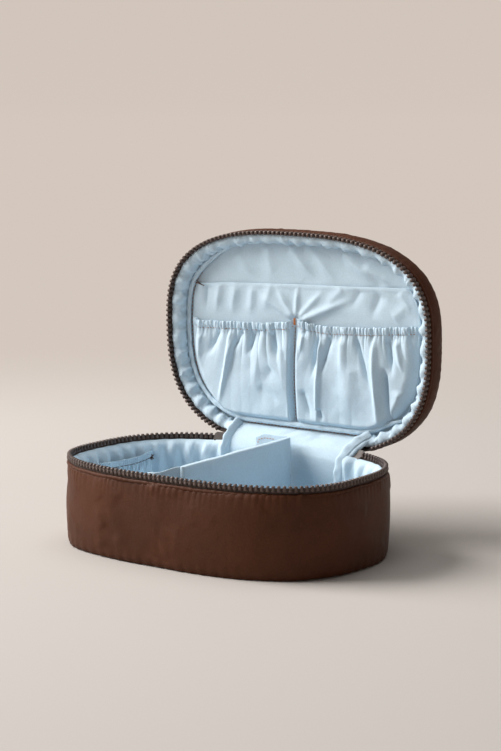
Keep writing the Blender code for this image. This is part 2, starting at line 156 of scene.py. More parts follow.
def drawn(lines):
    """Folds given one by one, in millimetres, for creases()."""
    return [tuple(value * MM for value in line) for line in lines]


def scattered(seed, count, area, angle, spread, length, width, height):
    """Folds at seeded places in an area (u low, u high, v low, v high), for creases()."""
    rng = np.random.RandomState(seed)
    lines = []
    for _ in range(count):
        u = rng.uniform(area[0], area[1])
        v = rng.uniform(area[2], area[3])
        turn = angle + rng.uniform(-spread, spread)
        reach = length * rng.uniform(0.5, 1.3)
        size = width * rng.uniform(0.6, 1.5)
        lift = height * rng.uniform(0.3, 1.0) * (1 if rng.rand() < 0.6 else -1)
        lines.append((u, v, u + reach * math.cos(turn), v + reach * math.sin(turn), size, lift))
    return lines


def drift(s, length, seed, wander, reach):
    """Slow changes of phase and size that make a ripple along s uneven."""
    s = np.asarray(s, float)
    probe = np.stack([s, s * 0 + seed, s * 0], -1)
    return s, wander * noise(probe / (length * 4.2), 1.0, seed), noise(probe / (length * reach), 1.0, seed + 3)


def wave(s, length, seed):
    """An uneven ripple along s, from -1 to 1, as gathered cloth has."""
    s, phase, size = drift(s, length, seed, 2.88, 2.6)
    return np.sin(2 * PI * s / length + phase) * (0.72 + 0.28 * size)


def pleat(s, length, seed, wander=0.9):
    """Round ridges between narrow valleys along s, from -1 to 1, as cloth has beside an elastic."""
    s, phase, size = drift(s, length, seed, 1.6 * wander, 2.2)
    return (np.abs(np.sin(PI * s / length + phase)) ** 0.75 * 2 - 1) * (0.65 + 0.35 * size)


def spread(low, high, step):
    """Even numbers from low to high, about a step apart."""
    return np.linspace(low, high, max(2, int(round((high - low) / step)) + 1))


def travelled(points):
    """Distance run along a line of points."""
    return np.concatenate([[0], np.cumsum(np.linalg.norm(np.diff(points, axis=0), axis=1))])


def resample(points, step):
    """Coordinates of a smooth run along a few given points, a set step apart."""
    points = np.array(points, float)
    for _ in range(3):
        middle = (points[:-1] + points[1:]) / 2
        cut = np.empty((2 * len(middle) + 1, points.shape[1]))
        cut[0], cut[-1] = points[0], points[-1]
        cut[1::2] = middle
        cut[2:-1:2] = 0.75 * points[1:-1] + 0.125 * (middle[:-1] + middle[1:])
        points = cut
    run = travelled(points)
    even = spread(0, run[-1], step)
    return [np.interp(even, run, column) for column in points.T]


def profile(section, step):
    """Two columns of metres from a cross-section in millimetres, for swept()."""
    return [values[:, None] for values in resample(np.array(section) * MM, step * MM)]


# ---------------------------------------------------------------- outline


def outline(angle):
    """Outline of the pouch at parameter angles: 0 is right, 90 degrees is back and 270 is front."""
    sine, cosine = np.sin(angle), np.cos(angle)
    power = np.where(sine > 0, BACK_POWER, FRONT_POWER)
    reach = np.where(sine > 0, BACK_REACH, WIDEST_Y - FRONT_Y)
    x = HALF_WIDTH * np.sign(cosine) * np.abs(cosine) ** (2 / power)
    y = WIDEST_Y + reach * np.sign(sine) * np.abs(sine) ** (2 / power)
    return x, np.minimum(y, BACK_Y)


class Loop:
    """The outline by arc length, from the middle of the back to the right, round the front and back again."""

    def __init__(self, samples=6000, rounding=4 * MM):
        x, y = outline(np.linspace(PI / 2, -1.5 * PI, samples + 1))
        run = np.concatenate([[0], np.cumsum(np.hypot(np.diff(x), np.diff(y)))])
        self.length = run[-1]
        self.s = np.linspace(0, self.length, samples + 1)[:-1]
        reach = int(3 * rounding / self.length * samples)
        kernel = np.exp(-0.5 * (np.arange(-reach, reach + 1) / (reach / 3)) ** 2)
        kernel /= kernel.sum()

        def eased(values):
            values = np.interp(self.s, run, values)
            return np.convolve(np.concatenate([values[-reach:], values, values[:reach]]), kernel, "valid")

        self.x, self.y = eased(x), eased(y)
        dx, dy = (np.roll(values, -1) - np.roll(values, 1) for values in (self.x, self.y))
        size = np.hypot(dx, dy)
        self.nx, self.ny = dy / size, -dx / size

    def at(self, s, inset=0.0):
        """x and y at arc length s, moved inward by inset."""
        s, inset = np.broadcast_arrays(np.asarray(s, float), np.asarray(inset, float))
        columns = (self.x, self.y, self.nx, self.ny)
        found = [np.interp(s, self.s, values, period=self.length) for values in columns]
        x, y, nx, ny = found
        return x + nx * inset, y + ny * inset

    def s_of_back_x(self, x):
        """Arc length at which the back right part of the outline has this x."""
        right = (self.s < self.length / 2) & (self.y > WIDEST_Y)
        return float(np.interp(x, self.x[right], self.s[right]))

    def all_round(self, count):
        """This many arc lengths, evenly round the whole outline."""
        return np.linspace(0, self.length, count, endpoint=False)

    def round_front(self, x, step):
        """Arc lengths from this x on the back right, round the front, to the same x on the back left."""
        start = self.s_of_back_x(x)
        return spread(start, self.length - start, step)


LOOP = Loop()


def swept(s, inset, z):
    """Grid of points: one row for each section point, one column for each place s on the outline."""
    s, inset, z = np.broadcast_arrays(s, inset, z)
    x, y = LOOP.at(s, inset)
    return np.stack([x, y, z], -1)


def grid(x, y, z):
    """Points from coordinates that broadcast together."""
    return np.stack(np.broadcast_arrays(x, y, z), -1)


def normals(points, closed=False):
    """Unit normals of a grid; closed means that its last column meets its first."""
    if closed:
        across = np.roll(points, -1, 1) - np.roll(points, 1, 1)
    else:
        across = np.gradient(points, axis=1)
    found = np.cross(across, np.gradient(points, axis=0))
    return found / np.maximum(np.linalg.norm(found, axis=-1, keepdims=True), 1e-12)


def swung(points):
    """Turns points laid out in the closed pouch with the lid to its rest pose."""
    points = np.asarray(points, float)
    y, z = points[..., 1] - HINGE_Y, points[..., 2] - HINGE_Z
    cosine, sine = math.cos(LID_OPEN), math.sin(LID_OPEN)
    return np.stack([points[..., 0], HINGE_Y + y * cosine + z * sine, HINGE_Z - y * sine + z * cosine], -1)


def swung_way(direction):
    """Turns a direction in the closed lid to its rest pose."""
    return swung(direction) - swung(np.zeros(3))


LID_OUT = swung_way((0, 0, -1.0))  # the way the lid's lining faces


def in_lid(x, v, d):
    """Points of the lid, at rest, from x, distance from the hinge line and depth behind the teeth."""
    return swung(grid(x, BACK_Y - v, RIM_Z + d))


def on_rim(points, half):
    """Points of the tray's rim as they are, or mirrored to the lid's rim and swung open."""
    if half == "tray":
        return points
    points[..., 2] = 2 * RIM_Z - points[..., 2]
    return swung(points)


# ---------------------------------------------------------------- materials


class Nodes:
    """Short calls for building a node tree."""

    def __init__(self, name):
        self.material = bpy.data.materials.new(name)
        self.material.use_nodes = True
        self.tree = self.material.node_tree
        self.shader = self.tree.nodes["Principled BSDF"]
        self.space = self.add("ShaderNodeTexCoord")

    def add(self, kind, **values):
        node = self.tree.nodes.new(kind)
        for key, value in values.items():
            if key in node.inputs:
                node.inputs[key].default_value = value
            else:
                setattr(node, key, value)
        return node

    def link(self, source, output, target, socket):
        self.tree.links.new(source.outputs[output], target.inputs[socket])

    def texture(self, kind, **values):
        """A texture laid out in the piece's own space."""
        node = self.add(kind, **values)
        self.link(self.space, "Object", node, "Vector")
        return node

    def ramp(self, source, output, stops):
        node = self.add("ShaderNodeValToRGB")
        for element, (position, colour) in zip(node.color_ramp.elements, stops):
            element.position = position
            element.color = (*colour, 1.0)
        self.link(source, output, node, "Fac")
        return node

    def vary_roughness(self, source, low, high):
        mapped = self.add("ShaderNodeMapRange", **{"To Min": low, "To Max": high})
        self.link(source, "Fac", mapped, "Value")
        self.link(mapped, "Result", self.shader, "Roughness")

    def bump(self, source, output, after=None, **values):
        """Relief from a texture, added to an earlier relief; the last one is what the shader uses."""
        node = self.add("ShaderNodeBump", **values)
        self.link(source, output, node, "Height")
        if after:
            self.link(after, "Normal", node, "Normal")
        self.link(node, "Normal", self.shader, "Normal")
        return node


def scaled(colour, factor):
    return tuple(channel * factor for channel in colour)


def woven(name, colour, roughness, thread, weave_depth, mottle, sheen, sheen_tint, slub, specular):
    """Plain-woven cloth: two thread sets in the cloth's own directions, mottled colour and fine slubs."""
    nodes = Nodes(name)
    uv = nodes.add("ShaderNodeUVMap", uv_map="cloth")
    weave = nodes.add("ShaderNodeMath", operation="MULTIPLY")
    for socket, direction in enumerate("XY"):
        settings = {"Scale": 0.314 / thread, "Distortion": 1.2, "Detail": 1.0}
        threads = nodes.add("ShaderNodeTexWave", bands_direction=direction, **settings)
        nodes.link(uv, "UV", threads, "Vector")
        nodes.link(threads, "Fac", weave, socket)

    cloud = nodes.texture("ShaderNodeTexNoise", Scale=22.0, Detail=4.0, Roughness=0.6)
    fleck = nodes.texture("ShaderNodeTexNoise", Scale=900.0, Detail=2.0, Roughness=0.7)
    tone = nodes.ramp(cloud, "Fac", [(0.32, scaled(colour, 1 - mottle)), (0.68, scaled(colour, 1 + mottle))])
    grain = nodes.ramp(fleck, "Fac", [(0.30, (1 - slub,) * 3), (0.70, (1 + slub,) * 3)])
    mixed = nodes.add("ShaderNodeMix", data_type="RGBA", blend_type="MULTIPLY")
    mixed.inputs[0].default_value = 1.0
    nodes.link(tone, "Color", mixed, 6)
    nodes.link(grain, "Color", mixed, 7)
    nodes.link(mixed, 2, nodes.shader, "Base Color")
    nodes.vary_roughness(cloud, roughness - 0.07, roughness + 0.07)

    fine = nodes.bump(weave, "Value", Strength=0.5, Distance=weave_depth)
    crumple = nodes.texture("ShaderNodeTexNoise", Scale=150.0, Detail=3.0, Roughness=0.55)
    nodes.bump(crumple, "Fac", fine, Strength=0.35, Distance=0.9 * MM)
    nodes.shader.inputs["Sheen Weight"].default_value = sheen
    nodes.shader.inputs["Sheen Roughness"].default_value = 0.45
    nodes.shader.inputs["Sheen Tint"].default_value = (*sheen_tint, 1.0)
    nodes.shader.inputs["Specular IOR Level"].default_value = specular
    return nodes.material


def moulded(name, colour, roughness, metallic=0.0):
    """Moulded plastic, cast metal or thick thread: slightly uneven colour, gloss and surface."""
    nodes = Nodes(name)
    spots = nodes.texture("ShaderNodeTexNoise", Scale=700.0, Detail=3.0, Roughness=0.6)
    tone = nodes.ramp(spots, "Fac", [(0.3, scaled(colour, 0.85)), (0.7, scaled(colour, 1.15))])
    nodes.link(tone, "Color", nodes.shader, "Base Color")
    nodes.vary_roughness(spots, roughness - 0.08, roughness + 0.10)
    nodes.bump(spots, "Fac", Strength=0.25, Distance=0.1 * MM)
    nodes.shader.inputs["Metallic"].default_value = metallic
    return nodes.material


def grained(name, colour, roughness, cell):
    """Leather, foam, board or napped tape: cellular grain with darker creases."""
    nodes = Nodes(name)
    cells = nodes.texture("ShaderNodeTexVoronoi", Scale=1 / cell, feature="F1")
    tone = nodes.ramp(cells, "Distance", [(0.0, scaled(colour, 1.15)), (0.8, scaled(colour, 0.70))])
    nodes.link(tone, "Color", nodes.shader, "Base Color")
    nodes.bump(cells, "Distance", Strength=0.45, Distance=0.2 * MM, invert=True)
    nodes.shader.inputs["Roughness"].default_value = roughness
    return nodes.material


BROWN = (0.067, 0.0225, 0.0100)
BLUE = (0.525, 0.660, 0.760)
TAPE = (0.050, 0.034, 0.029)
TOOTH = (0.085, 0.056, 0.047)
RUST = (0.42, 0.15, 0.045)
DARK_THREAD = (0.075, 0.030, 0.022)

LOOKS = {
    "shell": woven("brown_nylon", BROWN, 0.50, 0.45 * MM, 0.10 * MM, 0.16, 0.0, (1.0, 0.70, 0.55), 0.12, 0.13),
    "lining": woven("blue_cotton", BLUE, 0.82, 0.4 * MM, 0.08 * MM, 0.025, 0.12, (0.85, 0.95, 1.0), 0.05, 0.25),
    "tape": woven("zip_tape_weave", TAPE, 0.74, 0.80 * MM, 0.20 * MM, 0.10, 0.10, (1.0, 0.85, 0.8), 0.15, 0.3),
    "teeth": moulded("moulded_teeth", TOOTH, 0.40),
    "metal": moulded("dark_metal", (0.042, 0.031, 0.027), 0.45, 0.25),
    "rust": moulded("rust_thread", RUST, 0.70),
    "dark_thread": moulded("dark_thread", DARK_THREAD, 0.70),
    "foam": grained("padding_foam", (0.60, 0.60, 0.57), 0.95, 0.8 * MM),
    "board": grained("stiffener_board", (0.22, 0.21, 0.20), 0.70, 1.2 * MM),
    "patch": grained("loop_tape", (0.40, 0.53, 0.61), 0.95, 0.6 * MM),
    "leather": grained("pull_leather", (0.10, 0.050, 0.032), 0.50, 0.7 * MM),
}

# ---------------------------------------------------------------- meshes


def build(name, points, faces, look, uvs=None):
    """A smooth-shaded object from points and faces, with cloth coordinates for the faces' corners."""
    mesh = bpy.data.meshes.new(name)
    mesh.from_pydata(points.tolist(), [], faces)
    if uvs is not None:
        mesh.uv_layers.new(name="cloth").data.foreach_set("uv", uvs.astype(np.float32).ravel())
    mesh.materials.append(LOOKS[look])
    mesh.shade_smooth()
    thing = bpy.data.objects.new(name, mesh)
    bpy.context.scene.collection.objects.link(thing)
    return thing


def thicken(thing, thickness):
    """Gives a sheet its thickness, on the side away from its normals."""
    solid = thing.modifiers.new("thickness", "SOLIDIFY")
    solid.thickness = thickness
    solid.offset = -1
    return thing


def quads(index, after):
    """Faces between neighbouring rows of a grid, from its points' numbers and those of the next column."""
    return np.stack([index[:-1], after[:-1], after[1:], index[1:]], -1).reshape(-1, 4)


def corner_uvs(wide, tall):
    """Cloth coordinates, in metres, of the four corners of each face of a grid."""
    i, j = np.meshgrid(np.arange(len(tall) - 1), np.arange(len(wide) - 1), indexing="ij")
    corners = [(i, j), (i, j + 1), (i + 1, j + 1), (i + 1, j)]
    return np.stack([np.stack([wide[b], tall[a]], -1) for a, b in corners], -2).reshape(-1, 4, 2)


def cloth(name, points, look, wrap=False, thickness=0.5 * MM, flip=False, capped=False):
    """A sheet from a grid of points. wrap joins its last column to its first, capped closes its ends."""
    rows, columns = points.shape[:2]
    index = np.arange(rows * columns).reshape(rows, columns)
    middle = points[rows // 2]
    if wrap:
        faces = quads(index, np.roll(index, -1, 1))
        middle = np.concatenate([middle, middle[:1]])
    else:
        faces = quads(index[:, :-1], index[:, 1:])
    uvs = corner_uvs(travelled(middle), travelled(points[:, columns // 2]))
    faces = faces.tolist()
    if capped:
        faces += [index[0][::-1].tolist(), index[-1].tolist()]
    if flip:
        faces = [face[::-1] for face in faces]
        uvs = uvs[:, ::-1]
    uvs = uvs.reshape(-1, 2)
    if capped:
        uvs = np.concatenate([uvs, np.zeros((2 * columns, 2))])
    thing = build(name, points.reshape(-1, 3), faces, look, uvs)
    return thicken(thing, thickness) if thickness else thing


def disc(name, look, inset, columns, rings, lift, turn=None, thickness=0.4 * MM, flip=False):
    """A panel inside the inset outline; lift gives z for x and y, and turn moves the points afterwards."""
    edge = np.stack(LOOP.at(LOOP.all_round(columns), inset), -1)
    centre = edge.mean(0)
    share = np.linspace(1, 0, rings + 1)[:-1] ** 0.9
    flat = centre + (edge - centre) * share[:, None, None]
    flat = np.concatenate([flat.reshape(-1, 2), centre[None]])
    points = np.concatenate([flat, lift(flat[:, 0], flat[:, 1])[:, None]], 1)
    if turn:
        points = turn(points)
    index = np.arange(rings * columns).reshape(rings, columns)
    after = np.roll(index, -1, 1)
    faces = quads(index, after).tolist()
    faces += [[a, b, rings * columns] for a, b in zip(index[-1].tolist(), after[-1].tolist())]
    if flip:
        faces = [face[::-1] for face in faces]
    uvs = flat[np.concatenate(faces)]
    return thicken(build(name, points, faces, look, uvs), thickness)


def lofted(rings):
    """Vertices and faces of a small solid lofted through rings of points and capped."""
    rings = np.array(rings)
    index = np.arange(rings.shape[0] * rings.shape[1]).reshape(rings.shape[:2])
    faces = quads(index, np.roll(index, -1, 1)).tolist()
    return rings.reshape(-1, 3), faces + [index[0][::-1].tolist(), index[-1].tolist()]


def copies(name, shape, faces, frames, look):
    """One object of many copies of a small shape; each frame is (origin, x axis, y axis, z axis)."""
    frames = np.array(frames)
    points = frames[:, None, 0] + np.einsum("sk,nkc->nsc", shape, frames[:, 1:])
    count = len(shape)
    every = [[i + k * count for i in face] for k in range(len(frames)) for face in faces]
    return build(name, points.reshape(-1, 3), every, look)


def finish_piece(thing, body, slot, *nodes):
    """Attaches a piece to the body that it rides on and hides the CAD nodes that it stands for; slot is not
    used.
    """
    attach(thing, body)
    if nodes:
        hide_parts(*nodes)


def unit(vector):
    return vector / max(np.linalg.norm(vector), 1e-9)


def stitches(name, body, path, outward, look="rust", pitch=2.9 * MM, length=1.8 * MM, radius=0.20 * MM):
    """A row of thread stitches on a path; outward is the direction that they stand proud in."""
    rings = []
    turn = 2 * PI * np.arange(6) / 6
    sections = ((0.0, 0.35, -0.6), (0.12, 0.85, 0.3), (0.5, 1.0, 0.75), (0.88, 0.85, 0.3), (1.0, 0.35, -0.6))
    for share, size, proud in sections:
        ring = grid(share * length, np.cos(turn) * radius * size, (np.sin(turn) * size + proud) * radius)
        rings.append(ring)
    run = travelled(path)
    frames = []
    for start in np.arange(pitch * 0.3, run[-1] - length, pitch):
        places = (start, start + length)
        here, there = (np.array([np.interp(s, run, column) for column in path.T]) for s in places)
        ahead = unit(there - here)
        side = unit(np.cross(outward, ahead))
        frames.append((here, ahead, side, np.cross(ahead, side)))
    finish_piece(copies(name, *lofted(rings), frames, look), body, "lining_fabric")


def tack(name, body, ends, radius, look, rings=6):
    """One straight stitch of thick thread between two points."""
    ahead = unit(ends[1] - ends[0])
    side = unit(np.cross(ahead, (0, 0, 1.0)))
    turn = 2 * PI * np.arange(8)[:, None] / 8
    circle = radius * (np.cos(turn) * side + np.sin(turn) * np.cross(side, ahead))
    points = np.linspace(ends[0], ends[1], rings)[:, None] + circle
    thing = cloth(name, points, look, wrap=True, thickness=0, flip=True, capped=True)
    finish_piece(thing, body, "lining_fabric")


# ---------------------------------------------------------------- zip


def end_turn(s):
    """How far a place on the back has come from where the zip ends towards the hinge: 0 to 1."""
    x, y = LOOP.at(s)
    return np.where(y > 0, smooth((0.0650 - np.abs(x)) / 0.0130), 0.0)


def make_teeth(half):
    """A row of moulded teeth, half a pitch further on in the lid, so that the two rows mesh."""
    sections = [(1.15, 1.50, 0.0), (1.15, 1.50, 1.0), (0.88, 1.25, 1.5), (0.86, 1.20, 2.2), (1.14, 1.40, 2.8)]
    sections += [(1.06, 1.25, 3.3), (0.60, 0.80, 3.7)]
    turn = 2 * PI * (np.arange(12) + 0.5) / 12
    along = np.sign(np.cos(turn)) * np.abs(np.cos(turn)) ** 0.55
    wide = np.sign(np.sin(turn)) * np.abs(np.sin(turn)) ** 0.55
    rings = [grid(along * long * MM, wide * broad * MM, height * MM) for long, broad, height in sections]
    towards = TOWARDS[half]
    start = LOOP.s_of_back_x(ZIP_END_X)
    frames = []
    for s in np.arange(start + (PITCH / 2 if half == "lid" else 0.0), LOOP.length - start, PITCH):
        x, y = LOOP.at(s, 1.15 * MM)
        x2, y2 = LOOP.at(s + 1 * MM, 1.15 * MM)
        ahead = unit(np.array([x2 - x, y2 - y, 0.0]))
        up = np.array([0, 0, float(towards)])
        side = np.cross(up, ahead)
        jitter = float(noise(np.array([s, 0.0, 0.0]), 0.004, 5)) * 0.10 * MM
        origin = np.array([x, y, RIM_Z - towards * (3.45 * MM + jitter)])
        if half == "lid":
            origin, ahead, side, up = swung(origin), swung_way(ahead), swung_way(side), swung_way(up)
        frames.append((origin, ahead, side, up))
    thing = copies(f"{half}_teeth_row", *lofted(rings), frames, "teeth")
    finish_piece(thing, half, "zip_teeth", f"{half}_zip_teeth")


def make_tape(half):
    """Zip tape: a woven band behind the teeth with a thick beaded edge; its ends run in to the hinge."""
    s = LOOP.round_front(0.0505, 1 * MM)
    share = np.linspace(0, 1, 14)[:, None]
    turn = end_turn(s)
    low = TAPE_LOW_Z + turn * 3.5 * MM
    z = low + (RIM_Z - 1.3 * MM - turn * 1.4 * MM - low) * share
    bead = 0.55 * MM * peak(share, 0.93, 0.06)
    slack = (1.3 * MM + 0.25 * MM * wave(s, 0.011, 4)) * (1 - share)
    points = on_rim(swept(s, 1.55 * MM + slack - bead + turn * 0.8 * MM, z), half)
    thing = cloth(f"{half}_tape", points, "tape", thickness=0.9 * MM, flip=half == "lid")
    finish_piece(thing, half, "zip_tape", f"{half}_zip_tape")


def make_welt(half):
    """The folded edge of the shell fabric that the tape is sewn under."""
    s = LOOP.round_front(0.0600, 0.8 * MM)
    turn = np.linspace(-0.75 * PI, 0.75 * PI, 11)[:, None]
    radius = 0.85 * MM * (1 + 0.14 * wave(s, 0.0052, 9) + 0.10 * wave(s, 0.019, 2))
    z = WELT_Z + 0.15 * MM * wave(s, 0.031, 6) + 1.15 * radius * np.sin(turn)
    points = on_rim(swept(s, 0.75 * MM - radius * np.cos(turn), z), half)
    thing = cloth(f"{half}_welt_roll", points, "shell", thickness=0.3 * MM, flip=half == "lid")
    finish_piece(thing, half, "shell_fabric", f"{half}_rim_welt")


# ---------------------------------------------------------------- tray


def wall_relief(points, s, z):
    """Outward relief of the tray's shell: slack waves, drag lines and puckers beside the two seams."""
    lines = scattered(3, 75, (0, LOOP.length, 0.004, WALL_FOLD_TOP), 1.1, 0.9, 0.034, 0.0042, 0.80 * MM)
    lines += drawn([(442, 4, 402, 36, 5.5, 1.3), (424, 52, 396, 30, 6.0, -0.8), (205, 50, 240, 18, 7.0, -0.8)])
    near_top = np.exp(-np.maximum(WALL_FOLD_TOP - z, 0) / 0.0045)
    near_base = np.exp(-np.maximum(z - 0.002, 0) / 0.0045)
    slack = 0.40 + 1.35 * noise(points, 0.055, 3) + 0.75 * noise(points * (1, 1, 0.7), 0.024, 4)
    puckers = 0.34 * pleat(s + 0.08 * z, 0.0047, 5, 1.8) * near_top + 0.26 * wave(s, 0.0085, 7) * near_base
    return MM * (slack + puckers) + creases(s, z, lines)


def make_outer_wall():
    """Brown wall of the tray, all round: tucked under at the base, slightly full, drawn in at the zip."""
    section = [(8.0, 0.35), (4.4, 0.30), (2.3, 0.50), (1.2, 1.2), (0.8, 2.2), (0.45, 3.8), (0.15, 6.0)]
    section += [(-0.1, 9.0), (-0.55, 18), (-0.65, 30), (-0.45, 42), (0, 50), (0.35, 53), (0.9, 54.2)]
    section.append((1.6, 54.6))
    inset, z = profile(section, 0.9)
    s = LOOP.all_round(900)
    points = swept(s, inset, z)
    relief = wall_relief(points, s[None], z) - 0.45 * MM * peak(z, 2.2 * MM, 0.5 * MM)
    deepest = -0.7 * MM * smooth((z - 3 * MM) / (6 * MM)) - 0.15 * MM
    relief = np.maximum(relief, deepest) * smooth(z / (1.6 * MM))
    left_end = smooth((-points[..., 0] - 0.080) / 0.022)
    relief = np.where(relief > 0, relief * (1 - 0.75 * left_end), relief)
    points = points - normals(points, True) * relief[..., None]
    thing = cloth("tray_outer_wall", points, "shell", wrap=True, thickness=0.45 * MM, flip=True)
    finish_piece(thing, "tray", "shell_fabric", "tray_wall_shell", "tray_back_shell")


def make_base():
    """Bottom panel, flat where it rests."""

    def lift(x, y):
        return 0.35 * MM + 0.22 * MM * flat_noise(x, y, 0.030, 21)

    thing = disc("tray_base", "shell", 4.2 * MM, 360, 60, lift, thickness=0.3 * MM)
    finish_piece(thing, "tray", "shell_fabric", "base_panel")


def make_tray_lining():
    """Blue wall lining, slack and folded between the seams and drawn in at the zip tape."""
    s = LOOP.round_front(0.0480, 0.6 * MM)
    section = [(9.5, 5.6), (8.0, 6.2), (7.2, 9.0), (6.6, 20), (6.4, 36), (6.1, 48), (5.0, 54), (2.7, 56.6)]
    inset, z = profile(section, 0.8)
    turn = end_turn(s)
    share = (z - z[0]) / (z[-1] - z[0])
    z = z + turn * share**6 * 1.2 * MM + 0.12 * MM * wave(s, 0.012, 8) * share**8
    inset = inset + turn * share**6 * 3.2 * MM
    high = smooth((z - 0.012) / 0.030)
    near_top = np.exp(-np.maximum(0.055 - z, 0) / 0.011)
    lines = scattered(31, 46, (s[0], s[-1], 0.012, 0.048), 1.45, 0.5, 0.032, 0.0032, 1.9 * MM)
    folds = 2.0 * MM * (1 + wave(s + 0.10 * (z - 0.03), 0.0135, 12)) * high
    folds = folds + 0.6 * MM * (1 + pleat(s - 0.25 * z, 0.0066, 15)) * near_top
    folds = folds + np.abs(creases(s[None], z, lines))
    folds = folds + 0.5 * MM * (1 + noise(swept(s, inset, z), 0.018, 8))
    points = swept(s, inset + folds * (1 - 0.9 * share**14), z)
    thing = cloth("tray_lining_wall", points, "lining", thickness=0.4 * MM)
    finish_piece(thing, "tray", "lining_fabric", "tray_wall_lining")


def make_floor():
    """Lining of the tray's floor."""
    lines = scattered(5, 40, (-0.1, 0.1, -0.07, 0.06), 0.6, 1.6, 0.035, 0.003, 0.35 * MM)

    def lift(x, y):
        return FLOOR_Z + 0.25 * MM + 0.3 * MM * flat_noise(x, y, 0.022, 4) + creases(x, y, lines)

    thing = disc("tray_lining_floor", "lining", 8.6 * MM, 300, 55, lift, flip=True)
    finish_piece(thing, "tray", "lining_fabric", "floor_lining")


# ---------------------------------------------------------------- hinge


def make_hinge_lining():
    """Lining of the back wall, carried on over the hinge to the lid's bottom seam."""
    section = [(64.9, 6.0), (64.7, 30), (64.4, 45), (64.9, 54), (69.0, 60.5), (75.5, 64.6), (81.5, 66.8)]
    section.append((86.5, 68))
    y, z = profile(section, 0.8)
    share = np.linspace(0, 1, len(y))[:, None]
    across = np.linspace(-1, 1, 150)
    x = (49.5 * MM + 10 * MM * smooth((share - 0.62) / 0.38)) * across
    points = grid(x, y, z)
    run = travelled(np.hstack([y, z]))[:, None]
    lines = scattered(8, 26, (-0.05, 0.05, 0.02, 0.08), 0.9, 1.2, 0.030, 0.0030, 0.6 * MM)
    lines += drawn([(12, 92, 50, 66, 6, 1.6), (4, 90, 30, 52, 7, 1.4), (-40, 90, -10, 74, 5, 1.0)])
    relief = 0.5 * MM * noise(points, 0.030, 14) + 0.25 * MM * noise(points, 0.011, 15)
    relief = relief + creases(x, run, lines)
    relief = relief * smooth((1 - np.abs(across)) / 0.08) * smooth((1 - share) / 0.05)
    relief = relief * smooth((run - 0.052) / 0.010)
    points = points - normals(points) * np.clip(relief, -0.5 * MM, 2 * MM)[..., None]
    thing = cloth("hinge_lining_panel", points, "lining", thickness=0.4 * MM)
    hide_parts("tray_back_lining", "hinge_lining")
    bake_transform(thing)


def make_ribbon(side, name):
    """Binding over the seam between the back lining and the wall lining, up to the lid's bottom seam."""
    path = [(49.5, 63.2, 6.5), (49.0, 62.8, 26), (48.0, 61.6, 44), (48.4, 63.0, 53)]
    if side < 0:
        path += [(48.8, 67.4, 60.2), (49.4, 75.0, 65.4), (49.6, 82.0, 68.6)]
        facing = (0.75, -0.55)
    else:
        path += [(51.0, 67.4, 60.2), (55.0, 74.5, 66.2), (60.0, 81.5, 70.0)]
        facing = (0.20, -0.95)
    x, y, z = resample(np.array(path) * MM, 0.6 * MM)
    line = grid(side * x, y, z)
    run = travelled(line)
    tangent = np.gradient(line, axis=0)
    tangent /= np.linalg.norm(tangent, axis=1, keepdims=True)
    inward = grid(facing[0], facing[1], 0.35 * smooth((run - 0.045) / 0.02))
    inward = inward - tangent * (inward * tangent).sum(1, keepdims=True)
    inward /= np.linalg.norm(inward, axis=1, keepdims=True)
    sideways = np.cross(inward, tangent)
    across = np.linspace(-1, 1, 17)[:, None]
    width = 4.3 * MM * (1 + 0.10 * wave(run, 0.0075, 21 + side)) * (1 - 0.40 * smooth((run - 0.066) / 0.022))
    crown = 0.95 * MM * (1 - across**4) ** 0.6 - 0.55 * MM * peak(across, -0.40, 0.11)
    ruffle = 0.38 * MM * wave(run, 0.0080, 33 + side) * np.abs(across) ** 1.5
    points = line + sideways * (across * width)[..., None] + inward * (crown + ruffle)[..., None]
    thing = cloth(f"seam_ribbon_{name}", points, "lining", thickness=0.5 * MM, flip=side > 0)
    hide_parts(f"back_seam_binding_{name}")
    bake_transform(thing)


def make_hinge_outer():
    """Shell fabric of the outside of the hinge, from the tray's back to the lid's back."""
    y, z = profile([(72.4, 51.5), (72.6, 56.0), (73.2, 57.2), (76.0, 57.2), (83.5, 57.1)], 0.5)
    x = np.linspace(-56 * MM, 56 * MM, 170)
    points = grid(x, y, z)
    relief = 0.25 * MM * noise(points, 0.012, 5) + 0.18 * MM * wave(x, 0.006, 3)
    points = points + normals(points) * np.maximum(relief, -0.1 * MM)[..., None]
    thing = cloth("hinge_outer_strip", points, "shell", thickness=0.5 * MM)
    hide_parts("hinge_outer_fabric")
    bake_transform(thing)


# ---------------------------------------------------------------- end pocket in the tray


